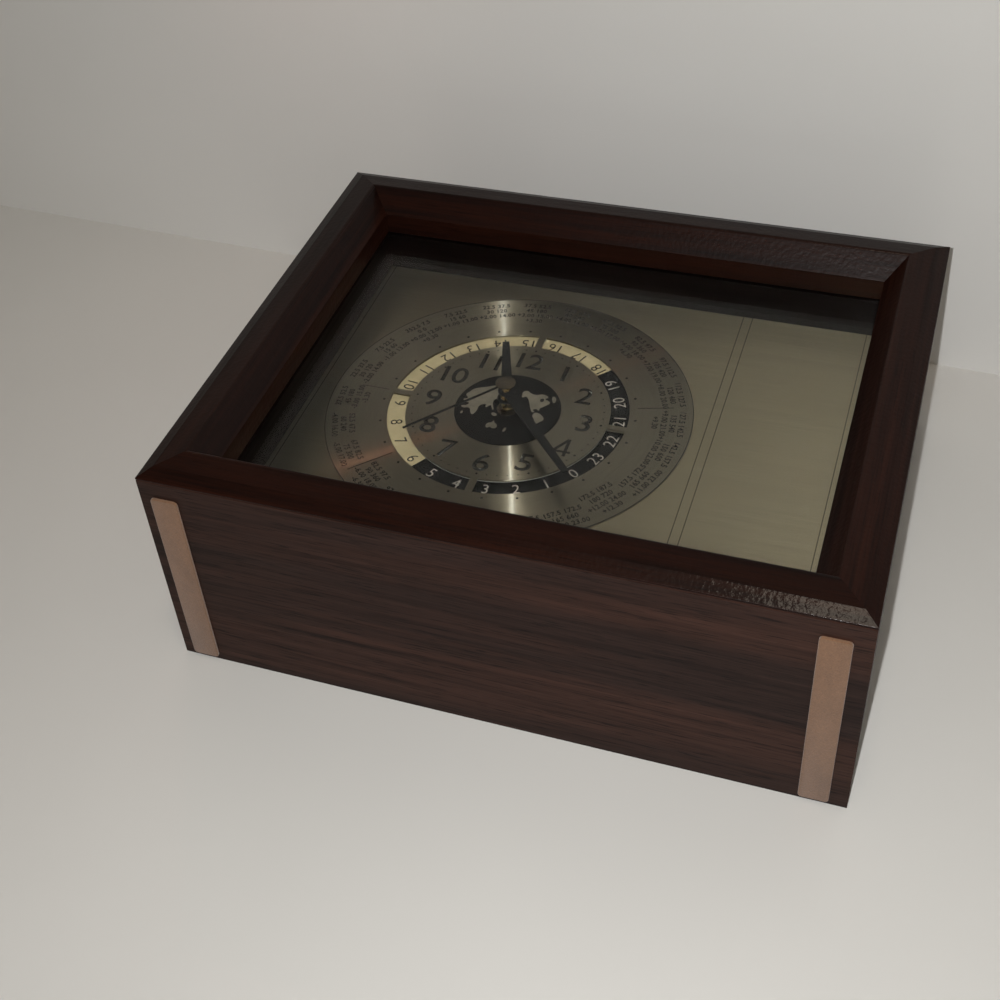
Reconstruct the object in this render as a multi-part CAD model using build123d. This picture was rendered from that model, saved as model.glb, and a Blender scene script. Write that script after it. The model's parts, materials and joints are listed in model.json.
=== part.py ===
from build123d import *
import math
import os

# World time clock, lying on its back. Origin: centre of the plane that the back rim rests on.
# +X points to 3 o'clock, +Y to 12 o'clock and +Z out of the dial. Millimetres, degrees.

# Case boards
case_width = 248.0
case_height = 200.5
edge_height = 91.0
board_thickness = 12.0
wood_fit = 0.2
corner_block_side = 18.0
back_recess = 5.0
back_thickness = 3.0

# Front moulding, measured from the outer edge: in towards the dial and up towards the viewer
lip_height = 0.8
slope_inset = 4.8
slope_rise = 2.3
crest_inset = 13.8
crest_rise = 3.9
crest_radius = 1.6
arris_inset = 21.4
arris_drop = 5.0
arris_radius = 0.5
glass_depth = 13.6

# Glass, dial plate and the parts lying on it
glass_thickness = 2.0
dial_depth = 32.0
plate_thickness = 0.8
disc_margin = 8.45
disc_side_margin = 7.8
city_disc_thickness = 0.3
map_disc_radius = 20.5
map_disc_thickness = 0.3
window_outer_radius = 46.4
window_width = 7.1
window_bridge = 2.8
window_margin = 0.3
sheet_fit = 0.1

# Felt strips on the face that the clock stands on
felt_proud = 1.0
felt_width = 10.2
felt_length = 81.0
felt_start = 2.0
felt_left_inset = 4.2
felt_right_inset = 6.2
felt_corner = 1.4

# Clearances shared by all fits
running_fit = 0.05
seat_fit = 0.02
body_gap = 0.3
overrun = 2.0

# Hands, with their heights above the dial
hand_thickness = 0.6
hour_hand_lift = 5.7
hour_hand_length = 34.2
hour_hand_root = 4.9
hour_hand_tip = 2.7
hour_boss_radius = 3.6
minute_hand_lift = 9.1
minute_hand_length = 50.6
minute_hand_root = 4.3
minute_hand_tip = 2.5
minute_boss_radius = 3.2
second_hand_lift = 12.7
second_hand_length = 44.2
second_hand_width = 0.75
second_hand_thickness = 0.4
second_boss_radius = 2.4
second_boss_height = 0.9
cap_radius = 3.9
cap_height = 1.1
cap_crown = 0.7
hand_stand_out = 0.3

# Hand arbors, from the inside out
seconds_arbor_radius = 0.75
cannon_wall = 0.65
hour_pipe_wall = 0.7
tray_bush_wall = 1.3
eyelet_wall = 0.75
eyelet_flange = 0.9
eyelet_flange_thickness = 0.5
eyelet_lift = 1.2

# Where the hands point at rest, in degrees clockwise from 12 o'clock
minute_hand_angle = 137.4
hour_hand_angle = 341.45
second_hand_angle = 220.8

# Tray behind the dial, in which the day and night ring runs
ring_overlap = 1.9
ring_teeth_inset = 1.8
ring_thickness = 1.2
tray_rim = 5.7
tray_floor = 2.0
ring_lift = 0.3
idler_stud_radius = 1.2
stud_radius = 1.2
stud_length = 7.0
nut_radius = 2.6
nut_thickness = 2.0
nut_sides = 6
stud_angles = (55.0, 125.0, 190.0, 350.0)

# Gears: teeth, and the sizes that set how far apart their axes are
ring_drive_teeth = 60
idler_teeth = 30
idler_angle = 90.0
cannon_module = 0.5
cannon_teeth = 12
minute_wheel_teeth = 36
setting_teeth = 18
minute_pinion_teeth = 12
hour_wheel_teeth = 48
minute_wheel_angle = 90.0
setting_angle = 40.0
train_distance = 14.0
seconds_pinion_teeth = 10
third_wheel_teeth = 80
third_pinion_teeth = 10
centre_wheel_teeth = 75
third_angle = 180.0
seconds_wheel_teeth = 60
step_pinion_teeth = 10
step_angle = -20.0
rotor_module = 0.3
step_wheel_teeth = 50
rotor_pinion_teeth = 10
tooth_share = 0.42
addendum_share = 0.9
dedendum_share = 1.2
pressure_angle = 20.0

# Movement, from the tray down
front_plate_thickness = 2.0
wheel_thickness = 1.2
thin_wheel_thickness = 1.0
level_gap = 0.8
arbor_radius = 0.6
stud_pin_radius = 0.8
stud_head_radius = 1.5
stud_head_thickness = 0.4
middle_plate_thickness = 2.0
pillar_radius = 2.0
rotor_radius = 2.8
rotor_height = 3.0
rotor_gap = 0.5
case_wall = 1.8
case_left = 32.0
case_right = 36.0
case_above = 30.5
case_depth = 30.4
lug_radius = 4.0
lug_thickness = 3.0
lug_reach = 3.6
lug_high = 20.0
lug_low = -30.0
lug_screw_radius = 1.25
lug_head_radius = 2.4
lug_head_height = 1.8
screw_end_gap = 0.4

# Battery and its contacts
cell_radius = 13.1
cell_length = 49.0
cell_cap_radius = 3.3
cell_cap_length = 1.4
cell_gap = 0.6
cell_centre = 2.0
contact_thickness = 0.4
contact_width = 9.0

# Drive coil, stator and circuit board
coil_radius = 3.9
spool_radius = 2.3
coil_start = 5.0
coil_length = 22.0
coil_flange = 0.8
coil_drop = 17.4
coil_gap = 1.4
core_width = 3.0
stator_thickness = 1.4
stator_ring_wall = 1.8
stator_leg = 3.0
board_sheet = 1.6
board_drop = 2.4
board_length = 30.0
board_width = 22.0
chip_side = 8.0
chip_height = 1.8
crystal_radius = 1.6
crystal_length = 6.2

# Setting knob and its arbor
setting_arbor_radius = 1.5
knob_radius = 8.0
knob_thickness = 6.0
knob_gap = 0.6
knob_grips = 24
knob_grip_depth = 0.5
knob_crest_shares = (0, 1 / 4)
knob_groove_shares = (1 / 2, 3 / 4)

# Fixings of the back panel
back_opening_margin = 5.0
back_screw_radius = 1.5
back_screw_length = 16.0
back_head_radius = 3.2
back_head_height = 1.8
driver_slot_width = 0.8
driver_slot_depth = 0.7

# The disc just fits between the liners, and the ring just covers the windows in it
city_disc_radius = case_height / 2 - arris_inset - disc_margin
dial_offset = arris_inset + disc_side_margin + city_disc_radius - case_width / 2
window_inner_radius = window_outer_radius - window_width
ring_radius = window_outer_radius + ring_overlap
tray_radius = ring_radius + tray_rim

# Teeth and modules that follow from meshing on shared axes
ring_teeth = ring_drive_teeth + 2 * idler_teeth
ring_module = 2 * (window_inner_radius - ring_teeth_inset) / ring_teeth
minute_train_teeth = cannon_teeth + minute_wheel_teeth
hour_module = cannon_module * minute_train_teeth / (minute_pinion_teeth + hour_wheel_teeth)
third_module = 2 * train_distance / (seconds_pinion_teeth + third_wheel_teeth)
centre_module = 2 * train_distance / (third_pinion_teeth + centre_wheel_teeth)
seconds_module = 2 * train_distance / (seconds_wheel_teeth + step_pinion_teeth)

# Heights worked out from the sizes above
seam_height = edge_height - lip_height
glass_top = edge_height - glass_depth
glass_bottom = glass_top - glass_thickness
plate_top = edge_height - dial_depth
plate_bottom = plate_top - plate_thickness
disc_top = plate_top + city_disc_thickness
map_top = disc_top + map_disc_thickness
ring_top = plate_bottom - body_gap
ring_bottom = ring_top - ring_thickness
tray_top = ring_bottom - ring_lift
tray_bottom = tray_top - tray_floor
front_plate_bottom = tray_bottom - front_plate_thickness
hour_wheel_top = front_plate_bottom - level_gap
hour_wheel_bottom = hour_wheel_top - wheel_thickness
minute_wheel_top = hour_wheel_bottom - level_gap
minute_wheel_bottom = minute_wheel_top - wheel_thickness
centre_wheel_top = minute_wheel_bottom - level_gap - stud_head_thickness
centre_wheel_bottom = centre_wheel_top - thin_wheel_thickness
third_wheel_top = centre_wheel_bottom - level_gap - stud_head_thickness
third_wheel_bottom = third_wheel_top - thin_wheel_thickness
seconds_wheel_top = third_wheel_bottom - level_gap - stud_head_thickness
seconds_wheel_bottom = seconds_wheel_top - thin_wheel_thickness
step_wheel_top = seconds_wheel_bottom - level_gap
step_wheel_bottom = step_wheel_top - thin_wheel_thickness
middle_plate_top = step_wheel_bottom - level_gap
middle_plate_bottom = middle_plate_top - middle_plate_thickness
case_back = front_plate_bottom - case_depth
circuit_top = middle_plate_bottom - board_drop
circuit_bottom = circuit_top - board_sheet
stator_bottom = seconds_wheel_top + rotor_gap
stator_top = stator_bottom + stator_thickness
hour_hand_bottom = disc_top + hour_hand_lift
hour_hand_top = hour_hand_bottom + hand_thickness
minute_hand_bottom = disc_top + minute_hand_lift
minute_hand_top = minute_hand_bottom + hand_thickness
second_hand_bottom = disc_top + second_hand_lift
second_hand_top = second_hand_bottom + second_hand_thickness

# Radii worked out from the arbors
cannon_inner = seconds_arbor_radius + running_fit
cannon_outer = cannon_inner + cannon_wall
hour_pipe_inner = cannon_outer + running_fit
hour_pipe_outer = hour_pipe_inner + hour_pipe_wall
tray_bush_inner = hour_pipe_outer + running_fit
tray_bush_outer = tray_bush_inner + tray_bush_wall
eyelet_inner = hour_pipe_outer + body_gap
eyelet_outer = eyelet_inner + eyelet_wall
tray_recess_radius = ring_radius + running_fit


def pitch_radius(teeth, module):
    return teeth * module / 2


def away(start, distance, angle):
    """The point at a distance and an angle, anticlockwise from 3 o'clock, from a start point."""
    turn = math.radians(angle)
    return (start[0] + distance * math.cos(turn), start[1] + distance * math.sin(turn))


# Axes, all parallel to +Z. The clock's own axis is the first.
main_axis = (dial_offset, 0)
idler_axis = away(main_axis, pitch_radius(ring_drive_teeth + idler_teeth, ring_module), idler_angle)
minute_distance = pitch_radius(minute_train_teeth, cannon_module)
minute_axis = away(main_axis, minute_distance, minute_wheel_angle)
setting_distance = pitch_radius(minute_wheel_teeth + setting_teeth, cannon_module)
setting_axis = away(minute_axis, setting_distance, setting_angle)
third_axis = away(main_axis, train_distance, third_angle)
step_axis = away(main_axis, train_distance, step_angle)
rotor_axis = away(step_axis, pitch_radius(step_wheel_teeth + rotor_pinion_teeth, rotor_module), step_angle)

# Outer faces of the movement case, measured in the clock's frame
case_x_low = main_axis[0] - case_left
case_x_high = main_axis[0] + case_right
case_y_high = main_axis[1] + case_above
partition_y = main_axis[1] - coil_drop - coil_radius - coil_gap
cell_y = partition_y - case_wall - cell_gap - cell_radius
case_y_low = cell_y - cell_radius - cell_gap - case_wall
cell_z = front_plate_bottom - cell_gap - cell_radius
lug_places = [
    (x, main_axis[1] + y)
    for x in (case_x_low - lug_reach, case_x_high + lug_reach)
    for y in (lug_high, lug_low)
]


# Shapes used by many parts
def disc(radius, low, high, at=(0, 0)):
    round_bar = Cylinder(radius, high - low, align=(Align.CENTER, Align.CENTER, Align.MIN))
    return Pos(at[0], at[1], low) * round_bar


def tube(outer, inner, low, high, at=(0, 0)):
    return disc(outer, low, high, at) - disc(inner, low - overrun, high + overrun, at)


def block(x_span, y_span, z_span):
    size = [span[1] - span[0] for span in (x_span, y_span, z_span)]
    return Pos(x_span[0], y_span[0], z_span[0]) * Box(*size, align=(Align.MIN, Align.MIN, Align.MIN))


def outline(corners):
    """A flat face with straight sides. A corner is (x, y), or (x, y, radius) where it is rounded."""
    count = len(corners)
    edges = []
    ends = []
    for index, (x, y, *rounding) in enumerate(corners):
        point = Vector(x, y)
        if not rounding:
            ends.append((point, point))
            continue
        radius = rounding[0]
        before = Vector(*corners[index - 1][:2])
        after = Vector(*corners[(index + 1) % count][:2])
        to_before = (before - point).normalized()
        to_after = (after - point).normalized()
        half_angle = math.radians(to_before.get_angle(to_after)) / 2
        run = radius / math.tan(half_angle)
        middle = (to_before + to_after).normalized()
        nearest = radius / math.sin(half_angle) - radius
        start = point + to_before * run
        end = point + to_after * run
        edges.append(Edge.make_three_point_arc(start, point + middle * nearest, end))
        ends.append((start, end))
    for index in range(count):
        edges.append(Edge.make_line(ends[index - 1][1], ends[index][0]))
    return Face(Wire.combine(edges)[0])


def slab(corners, low, high, at=(0, 0)):
    return Pos(at[0], at[1], low) * extrude(outline(corners), high - low, dir=(0, 0, 1))


def rectangle(x_span, y_span, radius):
    left, right = x_span
    low, high = y_span
    return [(x, y, radius) for x, y in ((left, low), (right, low), (right, high), (left, high))]


# Gears
def involute(angle):
    return math.tan(angle) - angle


def tooth_outline(teeth, module, turn, inward=False):
    """Closed outline of a gear with one tooth's middle at the angle turn, in degrees."""
    pitch = pitch_radius(teeth, module)
    base = pitch * math.cos(math.radians(pressure_angle))
    sign = -1 if inward else 1
    tip = pitch + sign * addendum_share * module
    root = pitch - sign * dedendum_share * module
    half_at_pitch = tooth_share * math.pi / teeth
    at_pitch = involute(math.radians(pressure_angle))

    def half_tooth(radius):
        grown = involute(math.acos(base / max(radius, base)))
        return half_at_pitch + sign * (at_pitch - grown)

    flank = [(radius, half_tooth(radius)) for radius in (root, pitch, tip)]
    points = []
    for tooth in range(teeth):
        middle = math.radians(turn) + 2 * math.pi * tooth / teeth
        points += [(radius, middle - half) for radius, half in flank]
        points += [(radius, middle + half) for radius, half in reversed(flank)]
    return [(radius * math.cos(angle), radius * math.sin(angle)) for radius, angle in points]


def gear(teeth, module, turn, low, high, at, inward=False):
    wire = Wire.make_polygon([Vector(x, y) for x, y in tooth_outline(teeth, module, turn, inward)])
    return Pos(at[0], at[1], low) * extrude(Face(wire), high - low, dir=(0, 0, 1))


def meshed_turn(turn, teeth, mate_teeth, direction):
    """Turn of an outside gear that puts one of its gaps on the first gear's tooth."""
    ahead = (turn - direction) * teeth / 360 % 1
    return direction + 180 - (ahead + 1 / 2) * 360 / mate_teeth


def ring_turn(turn, teeth, ring_teeth_count, direction):
    """Turn of an inside-toothed ring round a gear whose axis lies in the given direction."""
    ahead = (turn - direction) * teeth / 360 % 1
    return direction + (ahead - 1 / 2) * 360 / ring_teeth_count


# Case
def side_plane(side):
    """Local frame of one side: x inwards from the outer face, y up, z along the side."""
    inwards, along, origin = {
        "base": ((0, 1, 0), (1, 0, 0), (0, -case_height / 2, 0)),
        "top": ((0, -1, 0), (-1, 0, 0), (0, case_height / 2, 0)),
        "left": ((1, 0, 0), (0, -1, 0), (-case_width / 2, 0, 0)),
        "right": ((-1, 0, 0), (0, 1, 0), (case_width / 2, 0, 0)),
    }[side]
    return Plane(origin=origin, x_dir=inwards, z_dir=along)


def mitred_bar(corners, side):
    """A bar of the given section along one side of the case, mitred at both ends."""
    length = case_width if side in ("base", "top") else case_height
    deepest = max(corner[0] for corner in corners)
    tallest = max(corner[1] for corner in corners) + overrun
    bar = Pos(0, 0, -length / 2) * extrude(outline(corners), length, dir=(0, 0, 1))
    half = length / 2
    wedge_plan = Wire.make_polygon([
        Vector(0, 0, -half), Vector(0, 0, half),
        Vector(deepest, 0, half - deepest), Vector(deepest, 0, deepest - half),
    ])
    wedge = extrude(Face(wedge_plan), tallest, dir=(0, 1, 0))
    return (bar & wedge).moved(side_plane(side).location)


def case_board(side):
    section = [(0, 0), (board_thickness, 0), (board_thickness, seam_height), (0, seam_height)]
    return mitred_bar(section, side)


def frame_rail(side):
    tongue = board_thickness + wood_fit
    section = [
        (0, seam_height),
        (tongue, seam_height),
        (tongue, glass_top),
        (arris_inset, glass_top),
        (arris_inset, edge_height - arris_drop, arris_radius),
        (crest_inset, edge_height + crest_rise, crest_radius),
        (slope_inset, edge_height + slope_rise),
        (0, edge_height),
    ]
    return mitred_bar(section, side)


def liner(side):
    tongue = board_thickness + wood_fit
    section = [
        (tongue, plate_top), (arris_inset, plate_top),
        (arris_inset, glass_bottom), (tongue, glass_bottom),
    ]
    return mitred_bar(section, side)


def inside_sheet(low, high):
    """A flat sheet that just fits between the four boards."""
    half_x = case_width / 2 - board_thickness - wood_fit
    half_y = case_height / 2 - board_thickness - wood_fit
    return block((-half_x, half_x), (-half_y, half_y), (low, high))


block_half_x = case_width / 2 - board_thickness - corner_block_side / 2
block_half_y = case_height / 2 - board_thickness - corner_block_side / 2
block_places = [(x, y) for x in (-block_half_x, block_half_x) for y in (-block_half_y, block_half_y)]
back_top = back_recess + back_thickness
back_screw_top = back_recess + back_screw_length


def corner_blocks():
    blocks = []
    for x, y in block_places:
        half = corner_block_side / 2
        post = block((x - half, x + half), (y - half, y + half), (back_top, plate_bottom))
        blocks.append(post - disc(back_screw_radius + seat_fit, back_top - overrun, back_screw_top, (x, y)))
    return blocks


def back_panel():
    opening = block(
        (case_x_low - lug_reach - lug_radius - back_opening_margin,
         case_x_high + lug_reach + lug_radius + back_opening_margin),
        (case_y_low - back_opening_margin, case_y_high + back_opening_margin),
        (back_recess - overrun, back_top + overrun),
    )
    panel = inside_sheet(back_recess, back_top) - opening
    for place in block_places:
        panel -= disc(back_screw_radius + sheet_fit, back_recess - overrun, back_top + overrun, place)
    return panel


def slotted_screw(shank_radius, head_radius, head_height, head_face, tip, at):
    """A screw that points up, its head's flat face down at head_face."""
    neck = head_face + head_height
    screw = disc(head_radius, head_face, neck, at) + disc(shank_radius, neck, tip, at)
    slot = block(
        (at[0] - head_radius - overrun, at[0] + head_radius + overrun),
        (at[1] - driver_slot_width / 2, at[1] + driver_slot_width / 2),
        (head_face - overrun, head_face + driver_slot_depth),
    )
    return screw - slot


def back_screws():
    head_face = back_recess - back_head_height
    tip = back_screw_top - screw_end_gap
    return [
        slotted_screw(back_screw_radius, back_head_radius, back_head_height, head_face, tip, place)
        for place in block_places
    ]


def felt_strip(x_span):
    face = outline(rectangle(x_span, (felt_start, felt_start + felt_length), felt_corner))
    strip = extrude(face, felt_proud, dir=(0, 0, 1))
    return strip.moved(Plane(origin=(0, -case_height / 2, 0), x_dir=(1, 0, 0), z_dir=(0, -1, 0)).location)


# Dial
def windows(margin, low, high):
    """The four ring-shaped windows, as the solid that is cut away."""
    outer = window_outer_radius + margin
    ring = tube(outer, window_inner_radius - margin, low, high, main_axis)
    half = window_bridge / 2 - margin
    reach = outer + overrun
    x, y = main_axis
    upright = block((x - half, x + half), (y - reach, y + reach), (low - overrun, high + overrun))
    level = block((x - reach, x + reach), (y - half, y + half), (low - overrun, high + overrun))
    return ring - upright - level


def stud_places():
    radius = (tray_recess_radius + tray_radius) / 2
    return [away(main_axis, radius, angle) for angle in stud_angles]


def dial_plate():
    plate = inside_sheet(plate_bottom, plate_top)
    plate -= windows(window_margin, plate_bottom - overrun, plate_top + overrun)
    return plate - disc(eyelet_outer + seat_fit, plate_bottom - overrun, plate_top + overrun, main_axis)


def city_disc():
    sheet = tube(city_disc_radius, eyelet_outer + seat_fit, plate_top, disc_top, main_axis)
    return sheet - windows(0, plate_top - overrun, disc_top + overrun)


def map_disc():
    return tube(map_disc_radius, eyelet_outer + seat_fit, disc_top, map_top, main_axis)


def dial_eyelet():
    flange_top = map_top + eyelet_flange_thickness
    body = tube(eyelet_outer, eyelet_inner, plate_bottom, flange_top + eyelet_lift, main_axis)
    return body + tube(eyelet_outer + eyelet_flange, eyelet_inner, map_top, flange_top, main_axis)


# Hands, drawn pointing to 12 o'clock and turned to their readings
def turned(shape, angle):
    turn = Pos(main_axis[0], main_axis[1], 0) * Rot(0, 0, -angle)
    return turn * shape


def tapered_hand(root, tip, length, boss, bore, low, angle):
    high = low + hand_thickness
    blade = slab([(-root / 2, 0), (root / 2, 0), (tip / 2, length), (-tip / 2, length)], low, high)
    hand = blade + disc(boss, low, high)
    return turned(hand - disc(bore, low - overrun, high + overrun), angle)


def hour_hand():
    return tapered_hand(hour_hand_root, hour_hand_tip, hour_hand_length, hour_boss_radius,
                        hour_pipe_outer + seat_fit, hour_hand_bottom, hour_hand_angle)


def minute_hand():
    return tapered_hand(minute_hand_root, minute_hand_tip, minute_hand_length, minute_boss_radius,
                        cannon_outer + seat_fit, minute_hand_bottom, minute_hand_angle)


def second_hand():
    half = second_hand_width / 2
    needle = slab([(-half, 0), (half, 0), (half, second_hand_length), (-half, second_hand_length)],
                  second_hand_bottom, second_hand_top)
    boss_low = second_hand_top - second_boss_height
    hand = needle + disc(second_boss_radius, boss_low, second_hand_top)
    bore = seconds_arbor_radius + seat_fit
    return turned(hand - disc(bore, boss_low - overrun, second_hand_top + overrun), second_hand_angle)


def centre_cap():
    rim = second_hand_top + cap_height
    crown_radius = (cap_radius ** 2 + cap_crown ** 2) / (2 * cap_crown)
    dome = Pos(main_axis[0], main_axis[1], rim - crown_radius) * Sphere(crown_radius)
    cap = disc(cap_radius, second_hand_top, rim, main_axis) & dome
    socket_top = second_hand_top + hand_stand_out
    return cap - disc(seconds_arbor_radius + seat_fit, second_hand_top - overrun, socket_top, main_axis)


# Train behind the dial that turns the day and night ring
ring_drive_turn = 0
idler_turn = meshed_turn(ring_drive_turn, ring_drive_teeth, idler_teeth, idler_angle)
day_night_turn = ring_turn(idler_turn, idler_teeth, ring_teeth, idler_angle)


def ring_drive_wheel():
    wheel = gear(ring_drive_teeth, ring_module, ring_drive_turn, ring_bottom, ring_top, main_axis)
    return wheel - disc(hour_pipe_outer + seat_fit, ring_bottom - overrun, ring_top + overrun, main_axis)


def idler_gear():
    wheel = gear(idler_teeth, ring_module, idler_turn, ring_bottom, ring_top, idler_axis)
    bore = idler_stud_radius + running_fit
    return wheel - disc(bore, ring_bottom - overrun, ring_top + overrun, idler_axis)


def day_night_ring():
    rim = disc(ring_radius, ring_bottom, ring_top, main_axis)
    return rim - gear(ring_teeth, ring_module, day_night_turn, ring_bottom - overrun, ring_top + overrun,
                      main_axis, inward=True)


def ring_tray():
    tray = disc(tray_radius, tray_bottom, plate_bottom, main_axis)
    tray -= disc(tray_recess_radius, tray_top, plate_bottom + overrun, main_axis)
    tray -= disc(tray_bush_outer + seat_fit, tray_bottom - overrun, tray_top + overrun, main_axis)
    tray -= disc(idler_stud_radius + seat_fit, tray_bottom - overrun, tray_top + overrun, idler_axis)
    for place in stud_places():
        tray -= disc(stud_radius + running_fit, tray_bottom - overrun, plate_bottom + overrun, place)
    for place in lug_places:
        tray -= disc(lug_screw_radius + seat_fit, tray_bottom - overrun, tray_top - screw_end_gap, place)
    return tray


def tray_bush():
    return tube(tray_bush_outer, tray_bush_inner, tray_bottom, tray_top, main_axis)


def idler_stud():
    return disc(idler_stud_radius, tray_bottom, ring_top, idler_axis)


def dial_studs():
    return [disc(stud_radius, plate_bottom - stud_length, plate_bottom, place) for place in stud_places()]


def dial_nuts():
    nuts = []
    for place in stud_places():
        nut_bottom = tray_bottom - nut_thickness
        hexagon = extrude(RegularPolygon(nut_radius, nut_sides), nut_thickness, dir=(0, 0, 1))
        nut = Pos(place[0], place[1], nut_bottom) * hexagon
        nuts.append(nut - disc(stud_radius + seat_fit, nut_bottom - overrun, tray_bottom + overrun, place))
    return nuts


# Hand-setting train
cannon_turn = 0
minute_wheel_turn = meshed_turn(cannon_turn, cannon_teeth, minute_wheel_teeth, minute_wheel_angle)
setting_gear_turn = meshed_turn(minute_wheel_turn, minute_wheel_teeth, setting_teeth, setting_angle)
minute_pinion_turn = minute_wheel_turn
towards_main = minute_wheel_angle + 180
hour_wheel_turn = meshed_turn(minute_pinion_turn, minute_pinion_teeth, hour_wheel_teeth, towards_main)


def hour_wheel():
    wheel = gear(hour_wheel_teeth, hour_module, hour_wheel_turn,
                 hour_wheel_bottom, hour_wheel_top, main_axis)
    pipe_top = hour_hand_top + hand_stand_out
    wheel += disc(hour_pipe_outer, hour_wheel_bottom, pipe_top, main_axis)
    return wheel - disc(hour_pipe_inner, hour_wheel_bottom - overrun, pipe_top + overrun, main_axis)


def cannon_pinion():
    pinion = gear(cannon_teeth, cannon_module, cannon_turn,
                  minute_wheel_bottom, minute_wheel_top, main_axis)
    tube_top = minute_hand_top + hand_stand_out
    tube_bottom = centre_wheel_bottom
    pinion += disc(cannon_outer, tube_bottom, tube_top, main_axis)
    return pinion - disc(cannon_inner, tube_bottom - overrun, tube_top + overrun, main_axis)


def minute_wheel():
    wheel = gear(minute_wheel_teeth, cannon_module, minute_wheel_turn,
                 minute_wheel_bottom, minute_wheel_top, minute_axis)
    wheel += gear(minute_pinion_teeth, hour_module, minute_pinion_turn,
                  minute_wheel_top, hour_wheel_top, minute_axis)
    bore = stud_pin_radius + running_fit
    return wheel - disc(bore, minute_wheel_bottom - overrun, hour_wheel_top + overrun, minute_axis)


def minute_stud():
    head_bottom = minute_wheel_bottom - seat_fit - stud_head_thickness
    head = disc(stud_head_radius, head_bottom, head_bottom + stud_head_thickness, minute_axis)
    return head + disc(stud_pin_radius, head_bottom + stud_head_thickness, tray_bottom, minute_axis)


def setting_gear():
    wheel = gear(setting_teeth, cannon_module, setting_gear_turn,
                 minute_wheel_bottom, minute_wheel_top, setting_axis)
    bottom = case_back - knob_gap - knob_thickness + case_wall
    return wheel + disc(setting_arbor_radius, bottom, front_plate_bottom, setting_axis)


def setting_knob():
    top = case_back - knob_gap
    bottom = top - knob_thickness
    points = []
    for grip in range(knob_grips):
        for share in knob_crest_shares:
            points.append(away((0, 0), knob_radius, (grip + share) * 360 / knob_grips))
        for share in knob_groove_shares:
            points.append(away((0, 0), knob_radius - knob_grip_depth, (grip + share) * 360 / knob_grips))
    knob = slab(points, bottom, top, setting_axis)
    shaft_end = bottom + case_wall
    return knob - disc(setting_arbor_radius + seat_fit, shaft_end, top + overrun, setting_axis)


# Seconds train
seconds_turn = 0
third_turn = meshed_turn(seconds_turn, seconds_pinion_teeth, third_wheel_teeth, third_angle)
centre_turn = meshed_turn(third_turn, third_pinion_teeth, centre_wheel_teeth, third_angle + 180)
step_turn = meshed_turn(seconds_turn, seconds_wheel_teeth, step_pinion_teeth, step_angle)
rotor_turn = meshed_turn(step_turn, step_wheel_teeth, rotor_pinion_teeth, step_angle)


def seconds_wheel():
    wheel = gear(seconds_wheel_teeth, seconds_module, seconds_turn,
                 seconds_wheel_bottom, seconds_wheel_top, main_axis)
    wheel += gear(seconds_pinion_teeth, third_module, seconds_turn,
                  seconds_wheel_top, third_wheel_top + level_gap, main_axis)
    arbor_top = second_hand_top + hand_stand_out
    return wheel + disc(seconds_arbor_radius, middle_plate_bottom, arbor_top, main_axis)


def centre_wheel():
    wheel = gear(centre_wheel_teeth, centre_module, centre_turn,
                 centre_wheel_bottom, centre_wheel_top, main_axis)
    bore = cannon_outer + running_fit
    return wheel - disc(bore, centre_wheel_bottom - overrun, centre_wheel_top + overrun, main_axis)


def third_wheel():
    wheel = gear(third_wheel_teeth, third_module, third_turn,
                 third_wheel_bottom, third_wheel_top, third_axis)
    wheel += gear(third_pinion_teeth, centre_module, third_turn,
                  third_wheel_top, centre_wheel_top, third_axis)
    return wheel + disc(arbor_radius, middle_plate_bottom, tray_bottom, third_axis)


def step_wheel():
    wheel = gear(step_wheel_teeth, rotor_module, step_turn,
                 step_wheel_bottom, step_wheel_top, step_axis)
    wheel += gear(step_pinion_teeth, seconds_module, step_turn,
                  step_wheel_top, seconds_wheel_top, step_axis)
    return wheel + disc(arbor_radius, middle_plate_bottom, tray_bottom, step_axis)


def rotor():
    pinion = gear(rotor_pinion_teeth, rotor_module, rotor_turn,
                  step_wheel_bottom, step_wheel_top, rotor_axis)
    middle = (stator_bottom + stator_top) / 2
    magnet = disc(rotor_radius, middle - rotor_height / 2, middle + rotor_height / 2, rotor_axis)
    return pinion + magnet + disc(arbor_radius, middle_plate_bottom, tray_bottom, rotor_axis)


# Movement frame
def case_plan(inset):
    """The movement case's outline in plan, drawn in by inset."""
    return ((case_x_low + inset, case_x_high - inset), (case_y_low + inset, case_y_high - inset))


def movement_front_plate():
    x_span, y_span = case_plan(0)
    plate = slab(rectangle(x_span, y_span, case_wall), front_plate_bottom, tray_bottom)
    for place in lug_places:
        plate += lug(place, front_plate_bottom, tray_bottom)
    holes = [(place, lug_screw_radius + running_fit) for place in lug_places]
    holes += [(place, arbor_radius + running_fit) for place in (third_axis, step_axis, rotor_axis)]
    holes += [(main_axis, hour_pipe_outer + body_gap), (minute_axis, stud_pin_radius + seat_fit)]
    for place, radius in holes:
        plate -= disc(radius, front_plate_bottom - overrun, tray_bottom + overrun, place)
    return plate


def lug(place, low, high):
    """An ear for a fixing screw, joined to the nearest side of the movement case."""
    inner = case_x_low + case_wall / 2 if place[0] < main_axis[0] else case_x_high - case_wall / 2
    x_span = (min(inner, place[0]), max(inner, place[0]))
    web = block(x_span, (place[1] - lug_radius, place[1] + lug_radius), (low, high))
    return disc(lug_radius, low, high, place) + web


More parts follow.
